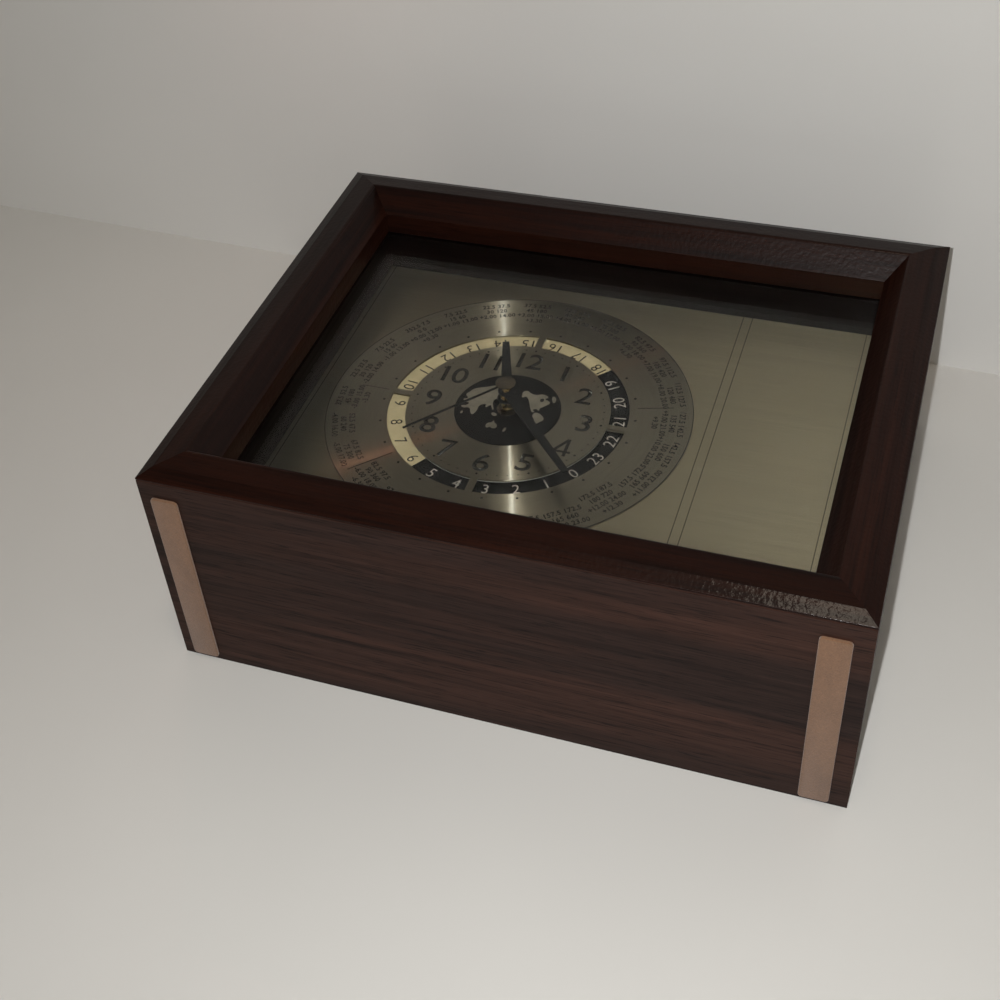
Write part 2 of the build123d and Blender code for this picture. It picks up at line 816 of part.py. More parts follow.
def movement_case():
    x_out, y_out = case_plan(0)
    x_in, y_in = case_plan(case_wall)
    shell = slab(rectangle(x_out, y_out, case_wall), case_back, front_plate_bottom)
    lug_bottom = front_plate_bottom - lug_thickness
    for place in lug_places:
        shell += lug(place, lug_bottom, front_plate_bottom)
    floor = case_back + case_wall
    shell -= block(x_in, (partition_y, y_in[1]), (floor, front_plate_bottom + overrun))
    shell -= block(x_in, (y_in[0], partition_y - case_wall), (floor, front_plate_bottom + overrun))
    half_cell = cell_length / 2 + cell_gap
    shell -= block(
        (main_axis[0] + cell_centre - half_cell, main_axis[0] + cell_centre + half_cell),
        (cell_y - cell_radius - cell_gap, cell_y + cell_radius + cell_gap),
        (case_back - overrun, floor + overrun),
    )
    shell -= disc(setting_arbor_radius + running_fit, case_back - overrun, floor + overrun, setting_axis)
    for place in lug_places:
        screw_hole = lug_screw_radius + running_fit
        shell -= disc(screw_hole, lug_bottom - overrun, front_plate_bottom + overrun, place)
    return shell


def movement_screws():
    head_face = front_plate_bottom - lug_thickness - lug_head_height
    tip = tray_top - screw_end_gap - seat_fit
    return [
        slotted_screw(lug_screw_radius, lug_head_radius, lug_head_height, head_face, tip, place)
        for place in lug_places
    ]


def train_room():
    """Plan of the space for the train, inside the walls of the movement case."""
    x_in, y_in = case_plan(case_wall)
    return (x_in[0] + body_gap, x_in[1] - body_gap), (partition_y + body_gap, y_in[1] - body_gap)


def pillar_places():
    x_room, y_room = train_room()
    left = x_room[0] + pillar_radius
    right = x_room[1] - pillar_radius
    low = y_room[0] + pillar_radius
    high = y_room[1] - pillar_radius
    return [(left, low), (left, high), (right, high), (right, main_axis[1] + pillar_radius)]


def plate_pillars():
    return [disc(pillar_radius, middle_plate_top, front_plate_bottom, place) for place in pillar_places()]


def stator_posts():
    """Where the stator rests on the middle plate: under the outer ends of its two legs."""
    y = main_axis[1] - coil_drop
    left = main_axis[0] + coil_start - stator_leg / 2 - body_gap
    right = main_axis[0] + coil_start + coil_length + stator_leg / 2 + body_gap
    return [(left, y), (right, y)]


def circuit_plan():
    x_room, y_room = train_room()
    return (x_room[0], x_room[0] + board_length), (y_room[0], y_room[0] + board_width)


def circuit_posts():
    x_span, y_span = circuit_plan()
    inset = pillar_radius + body_gap
    return [
        (x_span[0] + inset, y_span[0] + inset),
        (x_span[1] - inset, y_span[0] + inset),
        (x_span[0] + inset, y_span[1] - inset),
    ]


def middle_plate():
    x_room, y_room = train_room()
    plate = slab(rectangle(x_room, y_room, case_wall), middle_plate_bottom, middle_plate_top)
    for place in stator_posts():
        plate += disc(stator_leg / 2, middle_plate_top, stator_bottom, place)
    for place in circuit_posts():
        plate += disc(pillar_radius, circuit_top, middle_plate_bottom, place)
    holes = (
        (main_axis, seconds_arbor_radius), (third_axis, arbor_radius), (step_axis, arbor_radius),
        (rotor_axis, arbor_radius), (setting_axis, setting_arbor_radius),
    )
    for place, radius in holes:
        bore = radius + running_fit
        plate -= disc(bore, middle_plate_bottom - overrun, middle_plate_top + overrun, place)
    return plate


# Drive coil and stator
def stator():
    left_post, right_post = stator_posts()
    half = core_width / 2
    leg = stator_leg / 2
    span_z = (stator_bottom, stator_top)
    y = left_post[1]
    plate = block((left_post[0] - leg, right_post[0] + leg), (y - half, y + half), span_z)
    arm_y = rotor_axis[1] - stator_leg
    plate += block((left_post[0] - leg, left_post[0] + leg), (y, arm_y + leg), span_z)
    plate += block((left_post[0] - leg, rotor_axis[0]), (arm_y - leg, arm_y + leg), span_z)
    plate += block((right_post[0] - leg, right_post[0] + leg), (y, rotor_axis[1] + leg), span_z)
    plate += block((rotor_axis[0], right_post[0] + leg), (rotor_axis[1] - leg, rotor_axis[1] + leg), span_z)
    hole = rotor_radius + rotor_gap
    plate += disc(hole + stator_ring_wall, stator_bottom, stator_top, rotor_axis)
    return plate - disc(hole, stator_bottom - overrun, stator_top + overrun, rotor_axis)


coil_x = (main_axis[0] + coil_start, main_axis[0] + coil_start + coil_length)
coil_y = main_axis[1] - coil_drop
coil_z = (stator_bottom + stator_top) / 2


def along_x(radius, x_span):
    """A round bar along X on the coil's axis."""
    bar = Cylinder(radius, x_span[1] - x_span[0], align=(Align.CENTER, Align.CENTER, Align.MIN))
    return Pos(x_span[0], coil_y, coil_z) * Rot(0, 90, 0) * bar


def coil_spool():
    spool = along_x(spool_radius, coil_x)
    spool += along_x(coil_radius, (coil_x[0], coil_x[0] + coil_flange))
    spool += along_x(coil_radius, (coil_x[1] - coil_flange, coil_x[1]))
    half = core_width / 2 + sheet_fit
    return spool - block(
        (coil_x[0] - overrun, coil_x[1] + overrun), (coil_y - half, coil_y + half),
        (stator_bottom - sheet_fit, stator_top + sheet_fit),
    )


def coil_winding():
    span = (coil_x[0] + coil_flange + seat_fit, coil_x[1] - coil_flange - seat_fit)
    return along_x(coil_radius - running_fit, span) - along_x(spool_radius + seat_fit, span)


# Circuit board
def circuit_board():
    x_span, y_span = circuit_plan()
    return block(x_span, y_span, (circuit_bottom, circuit_top))


def timing_chip():
    x_span, y_span = circuit_plan()
    x = (x_span[0] + x_span[1]) / 2
    y = (y_span[0] + y_span[1]) / 2
    half = chip_side / 2
    return block((x - half, x + half), (y - half, y + half), (circuit_bottom - chip_height, circuit_bottom))


def quartz_crystal():
    x_span, y_span = circuit_plan()
    can = Cylinder(crystal_radius, crystal_length, align=(Align.CENTER, Align.CENTER, Align.MIN))
    x = x_span[0] + pillar_radius
    y = (y_span[0] + y_span[1]) / 2
    return Pos(x, y, circuit_bottom - crystal_radius) * Rot(0, 90, 0) * can


# Battery
cell_x = (main_axis[0] + cell_centre - cell_length / 2, main_axis[0] + cell_centre + cell_length / 2)
contact_left = case_x_low + case_wall
contact_right = case_x_high - case_wall


def battery():
    can_end = cell_x[1] - cell_cap_length
    can = Cylinder(cell_radius, can_end - cell_x[0], align=(Align.CENTER, Align.CENTER, Align.MIN))
    cap = Cylinder(cell_cap_radius, cell_cap_length, align=(Align.CENTER, Align.CENTER, Align.MIN))
    cell = Pos(cell_x[0], cell_y, cell_z) * Rot(0, 90, 0) * can
    return cell + Pos(can_end, cell_y, cell_z) * Rot(0, 90, 0) * cap


def leaf_contact(wall, touch):
    """A bent strip from the bay's end wall to the cell, seen from above as a Z."""
    way = 1 if touch > wall else -1
    thick = contact_thickness * way
    half = contact_width / 2
    z_span = (cell_z - half, cell_z + half)
    foot = sorted((wall, wall + thick))
    nose = sorted((touch - thick, touch))
    bridge = sorted((wall, touch))
    leaf = block(foot, (cell_y - cell_radius / 2, cell_y + half), z_span)
    leaf += block(nose, (cell_y - half, cell_y + half), z_span)
    return leaf + block(bridge, (cell_y + half - contact_thickness, cell_y + half), z_span)


def contact_negative():
    return leaf_contact(contact_left, cell_x[0])


def contact_positive():
    return leaf_contact(contact_right, cell_x[1])


left_strip = (felt_left_inset - case_width / 2, felt_left_inset + felt_width - case_width / 2)
right_strip = (case_width / 2 - felt_right_inset - felt_width, case_width / 2 - felt_right_inset)

# One entry for each node: a solid, or a list of alike solids
nodes = {
    "felt_strip_left": felt_strip(left_strip),
    "felt_strip_right": felt_strip(right_strip),
    "corner_blocks": corner_blocks(),
    "back_panel": back_panel(),
    "back_screws": back_screws(),
    "glass_pane": inside_sheet(glass_bottom, glass_top),
    "dial_plate": dial_plate(),
    "city_disc": city_disc(),
    "map_disc": map_disc(),
    "dial_eyelet": dial_eyelet(),
    "hour_hand": hour_hand(),
    "minute_hand": minute_hand(),
    "second_hand": second_hand(),
    "centre_cap": centre_cap(),
    "ring_drive_wheel": ring_drive_wheel(),
    "idler_gear": idler_gear(),
    "day_night_ring": day_night_ring(),
    "ring_tray": ring_tray(),
    "tray_bush": tray_bush(),
    "idler_stud": idler_stud(),
    "dial_studs": dial_studs(),
    "dial_nuts": dial_nuts(),
    "hour_wheel": hour_wheel(),
    "cannon_pinion": cannon_pinion(),
    "minute_wheel": minute_wheel(),
    "minute_stud": minute_stud(),
    "setting_gear": setting_gear(),
    "setting_knob": setting_knob(),
    "seconds_wheel": seconds_wheel(),
    "centre_wheel": centre_wheel(),
    "third_wheel": third_wheel(),
    "step_wheel": step_wheel(),
    "rotor": rotor(),
    "movement_front_plate": movement_front_plate(),
    "movement_case": movement_case(),
    "movement_screws": movement_screws(),
    "plate_pillars": plate_pillars(),
    "middle_plate": middle_plate(),
    "stator": stator(),
    "coil_spool": coil_spool(),
    "coil_winding": coil_winding(),
    "circuit_board": circuit_board(),
    "timing_chip": timing_chip(),
    "quartz_crystal": quartz_crystal(),
    "battery": battery(),
    "contact_negative": contact_negative(),
    "contact_positive": contact_positive(),
}
for side_name in ("top", "base", "left", "right"):
    nodes["case_board_" + side_name] = case_board(side_name)
    nodes["frame_rail_" + side_name] = frame_rail(side_name)
    nodes["liner_" + side_name] = liner(side_name)

# The felt stands proud of one face only, so this shift puts the origin at the middle of the whole box
centre_shift = Pos(0, felt_proud / 2, 0)
os.makedirs("parts", exist_ok=True)
for node, shape in nodes.items():
    pieces = shape if isinstance(shape, list) else [shape]
    solids = [centre_shift * solid for piece in pieces for solid in piece.solids()]
    export_step(solids[0] if len(solids) == 1 else Compound(children=solids), "parts/" + node + ".step")
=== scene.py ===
import json
import math

import bmesh
import bpy
from mathutils import Matrix, Vector


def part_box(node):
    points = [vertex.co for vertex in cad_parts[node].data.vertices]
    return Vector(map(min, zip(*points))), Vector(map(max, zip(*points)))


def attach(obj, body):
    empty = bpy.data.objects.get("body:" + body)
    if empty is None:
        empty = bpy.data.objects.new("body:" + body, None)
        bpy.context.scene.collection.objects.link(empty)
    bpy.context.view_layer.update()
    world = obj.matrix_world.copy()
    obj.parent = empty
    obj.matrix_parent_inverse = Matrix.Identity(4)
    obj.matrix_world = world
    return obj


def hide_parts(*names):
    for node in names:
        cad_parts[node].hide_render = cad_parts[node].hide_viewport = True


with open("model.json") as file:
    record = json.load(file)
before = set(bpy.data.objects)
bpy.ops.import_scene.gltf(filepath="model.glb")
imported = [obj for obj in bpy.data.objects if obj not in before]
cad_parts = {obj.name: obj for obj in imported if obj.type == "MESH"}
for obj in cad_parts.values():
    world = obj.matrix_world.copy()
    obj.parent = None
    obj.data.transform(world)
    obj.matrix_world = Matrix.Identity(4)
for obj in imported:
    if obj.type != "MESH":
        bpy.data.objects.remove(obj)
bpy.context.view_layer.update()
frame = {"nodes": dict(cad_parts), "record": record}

bl_info = {
    "name": "World time clock",
    "version": (1, 0, 0),
    "blender": (4, 5, 0),
    "location": "3D View > Sidebar > World clock",
    "description": "Dresses the packed frame of a desk clock with its veneer, brushed dial, print and hands",
    "category": "Add Mesh",
}

# Places read from the packed frame, in metres
DISC_LOW, DISC_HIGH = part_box("city_disc")
CENTRE = Vector(((DISC_LOW.x + DISC_HIGH.x) / 2, (DISC_LOW.y + DISC_HIGH.y) / 2, 0))
DISC_TOP = DISC_HIGH.z
PLATE_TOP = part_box("dial_plate")[1].z
MAP_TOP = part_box("map_disc")[1].z
RING_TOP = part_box("day_night_ring")[1].z

MM = 0.001

# Where the print stands on the disc and the ring: radii from the clock's centre, and radii of the dots
RIM_LINE = (70.05 * MM, 70.35 * MM)
HOUR_DOTS, HOUR_DOT = 48.9 * MM, 0.52 * MM
MINUTE_DOTS, MINUTE_DOT, FIFTH_DOT = 36.8 * MM, 0.27 * MM, 0.45 * MM
HOUR_NUMERALS = 30.4 * MM
ZONE_ROWS = (66.2 * MM, 62.9 * MM, 59.6 * MM, 56.3 * MM)
RING_PRINT = (38.9 * MM, 47.4 * MM)
# Short lines on the disc: degrees clockwise from the top, then inner radius, outer radius and width in mm
DISC_LINES = ((270, 49, 60, 0.25), (74.6, 49.4, 63, 0.3), (225, 48.4, 66.6, 0.35))
# The upright lines on the plate: their places along X and their width
PLATE_LINES = (-100.8 * MM, 50.4 * MM, 54.0 * MM, 99 * MM)
PLATE_LINE = 0.28 * MM
# Where the zone of midnight stands on the disc, and 0 on the ring at rest: degrees clockwise from the top
MIDNIGHT_ZONE = 128

SIDES = ("base", "top", "left", "right")
ALONG = {"base": "X", "top": "X", "left": "Y", "right": "Y"}


class WoodLooks(bpy.types.PropertyGroup):
    """The case's veneer, moulding and lacquer."""

    veneer_dark: bpy.props.FloatVectorProperty(
        name="Veneer, dark", description="Dark lines of the rosewood veneer",
        default=(0.025, 0.0118, 0.0090), subtype="COLOR", min=0, max=1)
    veneer_light: bpy.props.FloatVectorProperty(
        name="Veneer, light", description="Light figure of the rosewood veneer",
        default=(0.042, 0.0175, 0.0118), subtype="COLOR", min=0, max=1)
    moulding_dark: bpy.props.FloatVectorProperty(
        name="Moulding, dark", description="Dark lines of the front moulding",
        default=(0.0085, 0.0023, 0.0013), subtype="COLOR", min=0, max=1)
    moulding_light: bpy.props.FloatVectorProperty(
        name="Moulding, light", description="Light figure of the front moulding",
        default=(0.0175, 0.0048, 0.0024), subtype="COLOR", min=0, max=1)
    arris: bpy.props.FloatProperty(
        name="Arris", description="Rounding of the case's sharp edges",
        default=0.45 * MM, unit="LENGTH", min=0.05 * MM, max=2 * MM)


class DialLooks(bpy.types.PropertyGroup):
    """The metal of the dial and what is printed on it."""

    metal: bpy.props.FloatVectorProperty(
        name="Metal", description="Champagne anodised metal of the dial",
        default=(0.205, 0.178, 0.125), subtype="COLOR", min=0, max=1)
    ink: bpy.props.FloatVectorProperty(
        name="Ink", description="Black printing ink",
        default=(0.016, 0.015, 0.013), subtype="COLOR", min=0, max=1)
    numeral_height: bpy.props.FloatProperty(
        name="Hour numerals", description="Height of the numerals 1 to 12",
        default=9.5 * MM, unit="LENGTH", min=3 * MM, max=12 * MM)
    zone_height: bpy.props.FloatProperty(
        name="Zone numbers", description="Height of the small numbers of the time zones",
        default=2.3 * MM, unit="LENGTH", min=1 * MM, max=4 * MM)
    print_lift: bpy.props.FloatProperty(
        name="Print", description="Height of the print above its sheet",
        default=0.02 * MM, unit="LENGTH", min=0.005 * MM, max=0.1 * MM)


class RingLooks(bpy.types.PropertyGroup):
    """The turning ring with a day half and a night half."""

    # The day half's cream is darker than its own colour: partly cream, partly painted shade of the recess behind the
    # glass
    day: bpy.props.FloatVectorProperty(
        name="Day", description="Cream half of the ring",
        default=(0.36, 0.30, 0.18), subtype="COLOR", min=0, max=1)
    night: bpy.props.FloatVectorProperty(
        name="Night", description="Black half of the ring",
        default=(0.004, 0.004, 0.004), subtype="COLOR", min=0, max=1)
    numeral_height: bpy.props.FloatProperty(
        name="Ring numerals", description="Height of the numerals 0 to 23",
        default=4.8 * MM, unit="LENGTH", min=2 * MM, max=6 * MM)
    numeral_radius: bpy.props.FloatProperty(
        name="Ring numeral circle", description="Radius of the circle that the numerals stand on",
        default=42.6 * MM, unit="LENGTH", min=40 * MM, max=46 * MM)
    midnight: bpy.props.FloatProperty(
        name="Midnight", description="Where 0 stands at rest, clockwise from the top",
        default=math.radians(MIDNIGHT_ZONE), subtype="ANGLE")


class StageLooks(bpy.types.PropertyGroup):
    """The floor, the wall behind and the lamps."""

    floor: bpy.props.FloatVectorProperty(
        name="Floor", description="Pale floor",
        default=(0.64, 0.625, 0.60), subtype="COLOR", min=0, max=1)
    wall: bpy.props.FloatVectorProperty(
        name="Wall", description="Pale wall behind",
        default=(0.72, 0.705, 0.68), subtype="COLOR", min=0, max=1)
    room: bpy.props.FloatProperty(
        name="Room light", description="Strength of the even light all round",
        default=0.13, min=0, max=2)


# Bmesh helpers
def mesh_object(name, bm, material, recalculate=True):
    """Makes an object in the scene from a bmesh."""
    if recalculate:
        bmesh.ops.recalc_face_normals(bm, faces=bm.faces)
    mesh = bpy.data.meshes.new(name)
    bm.to_mesh(mesh)
    bm.free()
    piece = bpy.data.objects.new(name, mesh)
    bpy.context.scene.collection.objects.link(piece)
    mesh.materials.append(material)
    return piece


def fit(piece, body, slot, *replaced):
    """Puts a finished piece on its body and hides the nodes that it stands for. The finish (slot) that it is given is
    not used.
    """
    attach(piece, body)
    if replaced:
        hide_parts(*replaced)
    return piece


def merged_node(node):
    """A bmesh of one node of the frame, its loose triangles joined and its flat faces made whole."""
    bm = bmesh.new()
    bm.from_mesh(frame["nodes"][node].data)
    bmesh.ops.remove_doubles(bm, verts=bm.verts, dist=2e-6)
    bmesh.ops.dissolve_limit(bm, angle_limit=math.radians(1), verts=bm.verts, edges=bm.edges)
    return bm


def is_mitre(face):
    """Says whether a face is the 45 degree cut of a corner."""
    return abs(abs(face.normal.x) - abs(face.normal.y)) < 0.05 and abs(face.normal.z) < 0.05


def softened(name, node, radius, material, segments=2, keep_mitres=True, sharpest=30):
    """A node's shape with its sharp edges rounded."""
    bm = merged_node(node)
    edges = []
    for edge in bm.edges:
        if len(edge.link_faces) != 2 or edge.calc_face_angle(0) < math.radians(sharpest):
            continue
        if keep_mitres and any(is_mitre(face) for face in edge.link_faces):
            continue
        edges.append(edge)
    bmesh.ops.bevel(bm, geom=edges, offset=radius, offset_type="OFFSET", affect="EDGES", segments=segments,
                    profile=0.5, material=-1, clamp_overlap=True)
    piece = mesh_object(name, bm, material)
    piece.data.shade_smooth()
    piece.data.set_sharp_from_angle(angle=math.radians(35))
    even = piece.modifiers.new("flat_faces_stay_flat", "WEIGHTED_NORMAL")
    even.keep_sharp = True
    return piece


def spun(name, profile, material, steps, angle=2 * math.pi, start=0.0):
    """A closed profile of (radius, height) points turned round the clock's axis."""
    axis = Vector((0, 0, 1))
    bm = bmesh.new()
    turn = Matrix.Rotation(start, 3, "Z")
    points = [bm.verts.new(CENTRE + turn @ Vector((radius, 0, height))) for radius, height in profile]
    face = bm.faces.new(points)
    whole = angle > 2 * math.pi - 1e-6
    bmesh.ops.spin(bm, geom=[face] + list(face.edges) + list(face.verts), cent=CENTRE, axis=axis,
                   dvec=(0, 0, 0), angle=angle, steps=steps, use_merge=whole, use_duplicate=False)
    if whole:
        inner = []
        for section in bm.faces:
            section.normal_update()
            outward = section.calc_center_median() - CENTRE
            across = axis.cross(outward)
            if across.length and abs(section.normal.dot(across.normalized())) > 0.999:
                inner.append(section)
        bmesh.ops.delete(bm, geom=inner, context="FACES_ONLY")
    return mesh_object(name, bm, material)


def flat_ring(inner, outer, bottom, top):
    """The profile of a flat ring."""
    return [(inner, bottom), (outer, bottom), (outer, top), (inner, top)]


def clockwise(radius, angle):
    """The point at a radius and an angle, clockwise from 12 o'clock."""
    return Vector((CENTRE.x + radius * math.sin(angle), CENTRE.y + radius * math.cos(angle), 0))


def add_mesh(bm, mesh, matrix):
    """Adds a copy of a mesh to a bmesh, moved by a matrix."""
    old = set(bm.verts)
    bm.from_mesh(mesh)
    bmesh.ops.transform(bm, matrix=matrix, verts=[v for v in bm.verts if v not in old])


GLYPHS = {}
CAP_HEIGHT = 0.73

# The font's own 4 closes up when it is made bolder, so it has an outline here, in shares of its height
FOUR = (
    ((0.44, 0), (0.56, 0), (0.56, 0.20), (0.70, 0.20), (0.70, 0.31), (0.56, 0.31), (0.56, 1), (0.43, 1), (0, 0.30),
     (0, 0.20), (0.44, 0.20)),
    ((0.15, 0.31), (0.44, 0.31), (0.44, 0.79)),
)


def number_curve(text, weight, smoothness, spacing):
    """The outline of a line of numbers, in units of the font."""
    if text == "4" and weight > 0:
        curve = bpy.data.curves.new("numbers", "CURVE")
        curve.dimensions = "2D"
        curve.fill_mode = "BOTH"
        for outline in FOUR:
            spline = curve.splines.new("POLY")
            spline.points.add(len(outline) - 1)
            spline.use_cyclic_u = True
            for point, (x, y) in zip(spline.points, outline):
                point.co = (x * CAP_HEIGHT, y * CAP_HEIGHT, 0, 1)
        return curve
    curve = bpy.data.curves.new("numbers", "FONT")
    curve.body = text
    curve.align_x = "CENTER"
    curve.resolution_u = smoothness
    curve.offset = weight
    curve.space_character = spacing
    return curve


def glyph_mesh(text, weight, smoothness, spacing):
    """A line of numbers 1 high, centred on the origin and 1 thick."""
    key = (text, weight, smoothness, spacing)
    if key not in GLYPHS:
        curve = number_curve(text, weight, smoothness, spacing)
        holder = bpy.data.objects.new("numbers", curve)
        bpy.context.scene.collection.objects.link(holder)
        bpy.context.view_layer.update()
        seen = holder.evaluated_get(bpy.context.evaluated_depsgraph_get())
        mesh = bpy.data.meshes.new_from_object(seen)
        bpy.data.objects.remove(holder)
        bpy.data.curves.remove(curve)
        bm = bmesh.new()
        bm.from_mesh(mesh)
        bmesh.ops.remove_doubles(bm, verts=bm.verts, dist=1e-5)
        walls = bmesh.ops.extrude_face_region(bm, geom=list(bm.faces))
        moved = [v for v in walls["geom"] if isinstance(v, bmesh.types.BMVert)]
        bmesh.ops.translate(bm, vec=(0, 0, 1), verts=moved)
        low = min(v.co.x for v in bm.verts)
        high = max(v.co.x for v in bm.verts)
        bmesh.ops.translate(bm, vec=(-(low + high) / 2, -CAP_HEIGHT / 2, 0), verts=bm.verts)
        bmesh.ops.scale(bm, vec=(1 / CAP_HEIGHT, 1 / CAP_HEIGHT, 1), verts=bm.verts)
        bmesh.ops.recalc_face_normals(bm, faces=bm.faces)
        bm.to_mesh(mesh)
        bm.free()
        GLYPHS[key] = mesh
    return GLYPHS[key]


def lettering(name, lines, lift, material, weight=-0.002, smoothness=4, narrow=0.94, spacing=1.06):
    """One piece of printed numbers. Each line is (text, height, centre, turn)."""
    bm = bmesh.new()
    for text, height, centre, turn in lines:
        place = (
            Matrix.Translation(Vector((centre.x, centre.y, centre.z - lift)))
            @ Matrix.Rotation(turn, 4, "Z")
            @ Matrix.Diagonal((height * narrow, height, 2 * lift, 1))
        )
        add_mesh(bm, glyph_mesh(text, weight, smoothness, spacing), place)
    return mesh_object(name, bm, material, recalculate=False)


def dots(bm, places, radius, bottom, top, sides):
    """Flat round dots at a list of places."""
    for place in places:
        middle = Matrix.Translation(Vector((place.x, place.y, (bottom + top) / 2)))
        bmesh.ops.create_cone(bm, cap_ends=True, cap_tris=False, segments=sides, radius1=radius,
                              radius2=radius, depth=top - bottom, matrix=middle)


def bar(bm, start, end, width, bottom, top):
    """A thin printed line between two points."""
    run = end - start
    middle = (start + end) / 2
    place = (
        Matrix.Translation(Vector((middle.x, middle.y, (bottom + top) / 2)))
        @ Matrix.Rotation(math.atan2(run.y, run.x), 4, "Z")
        @ Matrix.Diagonal((run.length, width, top - bottom, 1))
    )
    bmesh.ops.create_cube(bm, size=1, matrix=place)


# Material helper
class Finish:
    """A material being put together: nodes are added by short calls that return their output."""

    def __init__(self, name, colour=(0.5, 0.5, 0.5), roughness=0.5, **sockets):
        self.material = bpy.data.materials.new(name)
        self.material.use_nodes = True
        self.tree = self.material.node_tree
        self.surface = self.tree.nodes["Principled BSDF"]
        self.set("Base Color", (*colour[:3], 1))
        self.set("Roughness", roughness)
        for socket, value in sockets.items():
            self.set(socket.replace("_", " "), value)

    def set(self, socket, value):
        """Sets or joins one of the surface's sockets."""
        if isinstance(value, bpy.types.NodeSocket):
            self.tree.links.new(value, self.surface.inputs[socket])
        else:
            self.surface.inputs[socket].default_value = value

    def add(self, kind, inputs=(), **settings):
        node = self.tree.nodes.new(kind)
        for key, value in settings.items():
            setattr(node, key, value)
        for key, value in dict(inputs).items():
            if isinstance(value, bpy.types.NodeSocket):
                self.tree.links.new(value, node.inputs[key])
            else:
                node.inputs[key].default_value = value
        return node

    def at(self, scale=(1, 1, 1), centre=(0, 0, 0)):
        """Object coordinates, measured from a centre and then stretched."""
        source = self.add("ShaderNodeTexCoord").outputs["Object"]
        moved = self.add("ShaderNodeMapping", {0: source, "Location": [-c for c in centre]}).outputs[0]
        return self.add("ShaderNodeMapping", {0: moved, "Scale": scale}).outputs[0]

    def noise(self, vector, scale, detail=4.0, roughness=0.5, distortion=0.0):
        inputs = {"Vector": vector, "Scale": scale, "Detail": detail, "Roughness": roughness,
                  "Distortion": distortion}
        return self.add("ShaderNodeTexNoise", inputs).outputs[0]

    def cells(self, vector, scale):
        return self.add("ShaderNodeTexVoronoi", {"Vector": vector, "Scale": scale}).outputs["Distance"]

    def ramp(self, value, *stops):
        """Colours at shares of the value: each stop is (share, colour or grey)."""
        node = self.add("ShaderNodeValToRGB", {0: value})
        band = node.color_ramp
        while len(band.elements) < len(stops):
            band.elements.new(1)
        for element, (share, colour) in zip(band.elements, stops):
            element.position = share
            grey = isinstance(colour, (int, float))
            element.color = (colour, colour, colour, 1) if grey else (*colour[:3], 1)
        return node.outputs[0]

    def blend(self, share, first, second, how="MIX"):
        node = self.add("ShaderNodeMix", {0: share, 6: first, 7: second}, data_type="RGBA", blend_type=how)
        return node.outputs[2]

    def maths(self, how, first, second=0.0):
        return self.add("ShaderNodeMath", {0: first, 1: second}, operation=how).outputs[0]

    def span(self, value, low, high, new_low, new_high):
        inputs = {0: value, 1: low, 2: high, 3: new_low, 4: new_high}
        return self.add("ShaderNodeMapRange", inputs).outputs[0]

    def bump(self, height, strength, distance, under=None):
        inputs = {"Height": height, "Strength": strength, "Distance": distance}
        if under is not None:
            inputs["Normal"] = under
        return self.add("ShaderNodeBump", inputs).outputs[0]


def scaled(colour, share):
    """A constant colour made lighter or darker."""
    return tuple(min(1.0, channel * share) for channel in colour[:3])


def wood(name, dark, light, along, gloss=0.3, coat=0.35, coat_roughness=0.2, peel=0.0, pores=1.0):
    """Lacquered straight-grained wood with its grain along X, Y or Z."""
    finish = Finish(name, roughness=gloss, Specular_IOR_Level=0.07, Coat_Weight=coat, Coat_Roughness=coat_roughness)
    stretch = {"X": (0.035, 1, 1), "Y": (1, 0.035, 1), "Z": (1, 1, 0.035)}[along]
    long_stretch = {"X": (0.012, 1, 1), "Y": (1, 0.012, 1), "Z": (1, 1, 0.012)}[along]
    wide = finish.noise(finish.at(stretch), 38, 3, 0.55, 0.6)
    lines = finish.noise(finish.at(stretch), 330, 6, 0.62, 0.25)
    fine = finish.noise(finish.at(long_stretch), 1500, 4, 0.6)
    pore = finish.noise(finish.at(stretch), 2600, 2, 0.5)
    figure = finish.ramp(wide, (0.30, scaled(dark, 0.8)), (0.47, dark), (0.62, light), (0.78, scaled(light, 1.25)))
    line_shade = finish.ramp(lines, (0.34, 0.42), (0.50, 0.86), (0.66, 1.12))
    toned = finish.blend(0.85, figure, line_shade, "MULTIPLY")
    fine_shade = finish.ramp(fine, (0.35, 0.72), (0.65, 1.18))
    toned = finish.blend(0.8, toned, fine_shade, "MULTIPLY")
    pore_mask = finish.ramp(pore, (0.33, 0.35), (0.42, 1.0))
    toned = finish.blend(pores, toned, pore_mask, "MULTIPLY")
    finish.set("Base Color", toned)
    finish.set("Roughness", finish.span(lines, 0.3, 0.7, gloss + 0.08, gloss - 0.06))
    grain = finish.bump(pore_mask, 0.25 * pores, 0.04 * MM)
    if peel:
        dimple = finish.noise(finish.at(), 620, 2, 0.45)
        coat_normal = finish.bump(dimple, peel, 0.25 * MM)
        finish.set("Coat Normal", coat_normal)
        grain = finish.bump(pore_mask, 0.2, 0.03 * MM, coat_normal)
    finish.set("Normal", grain)
    return finish.material


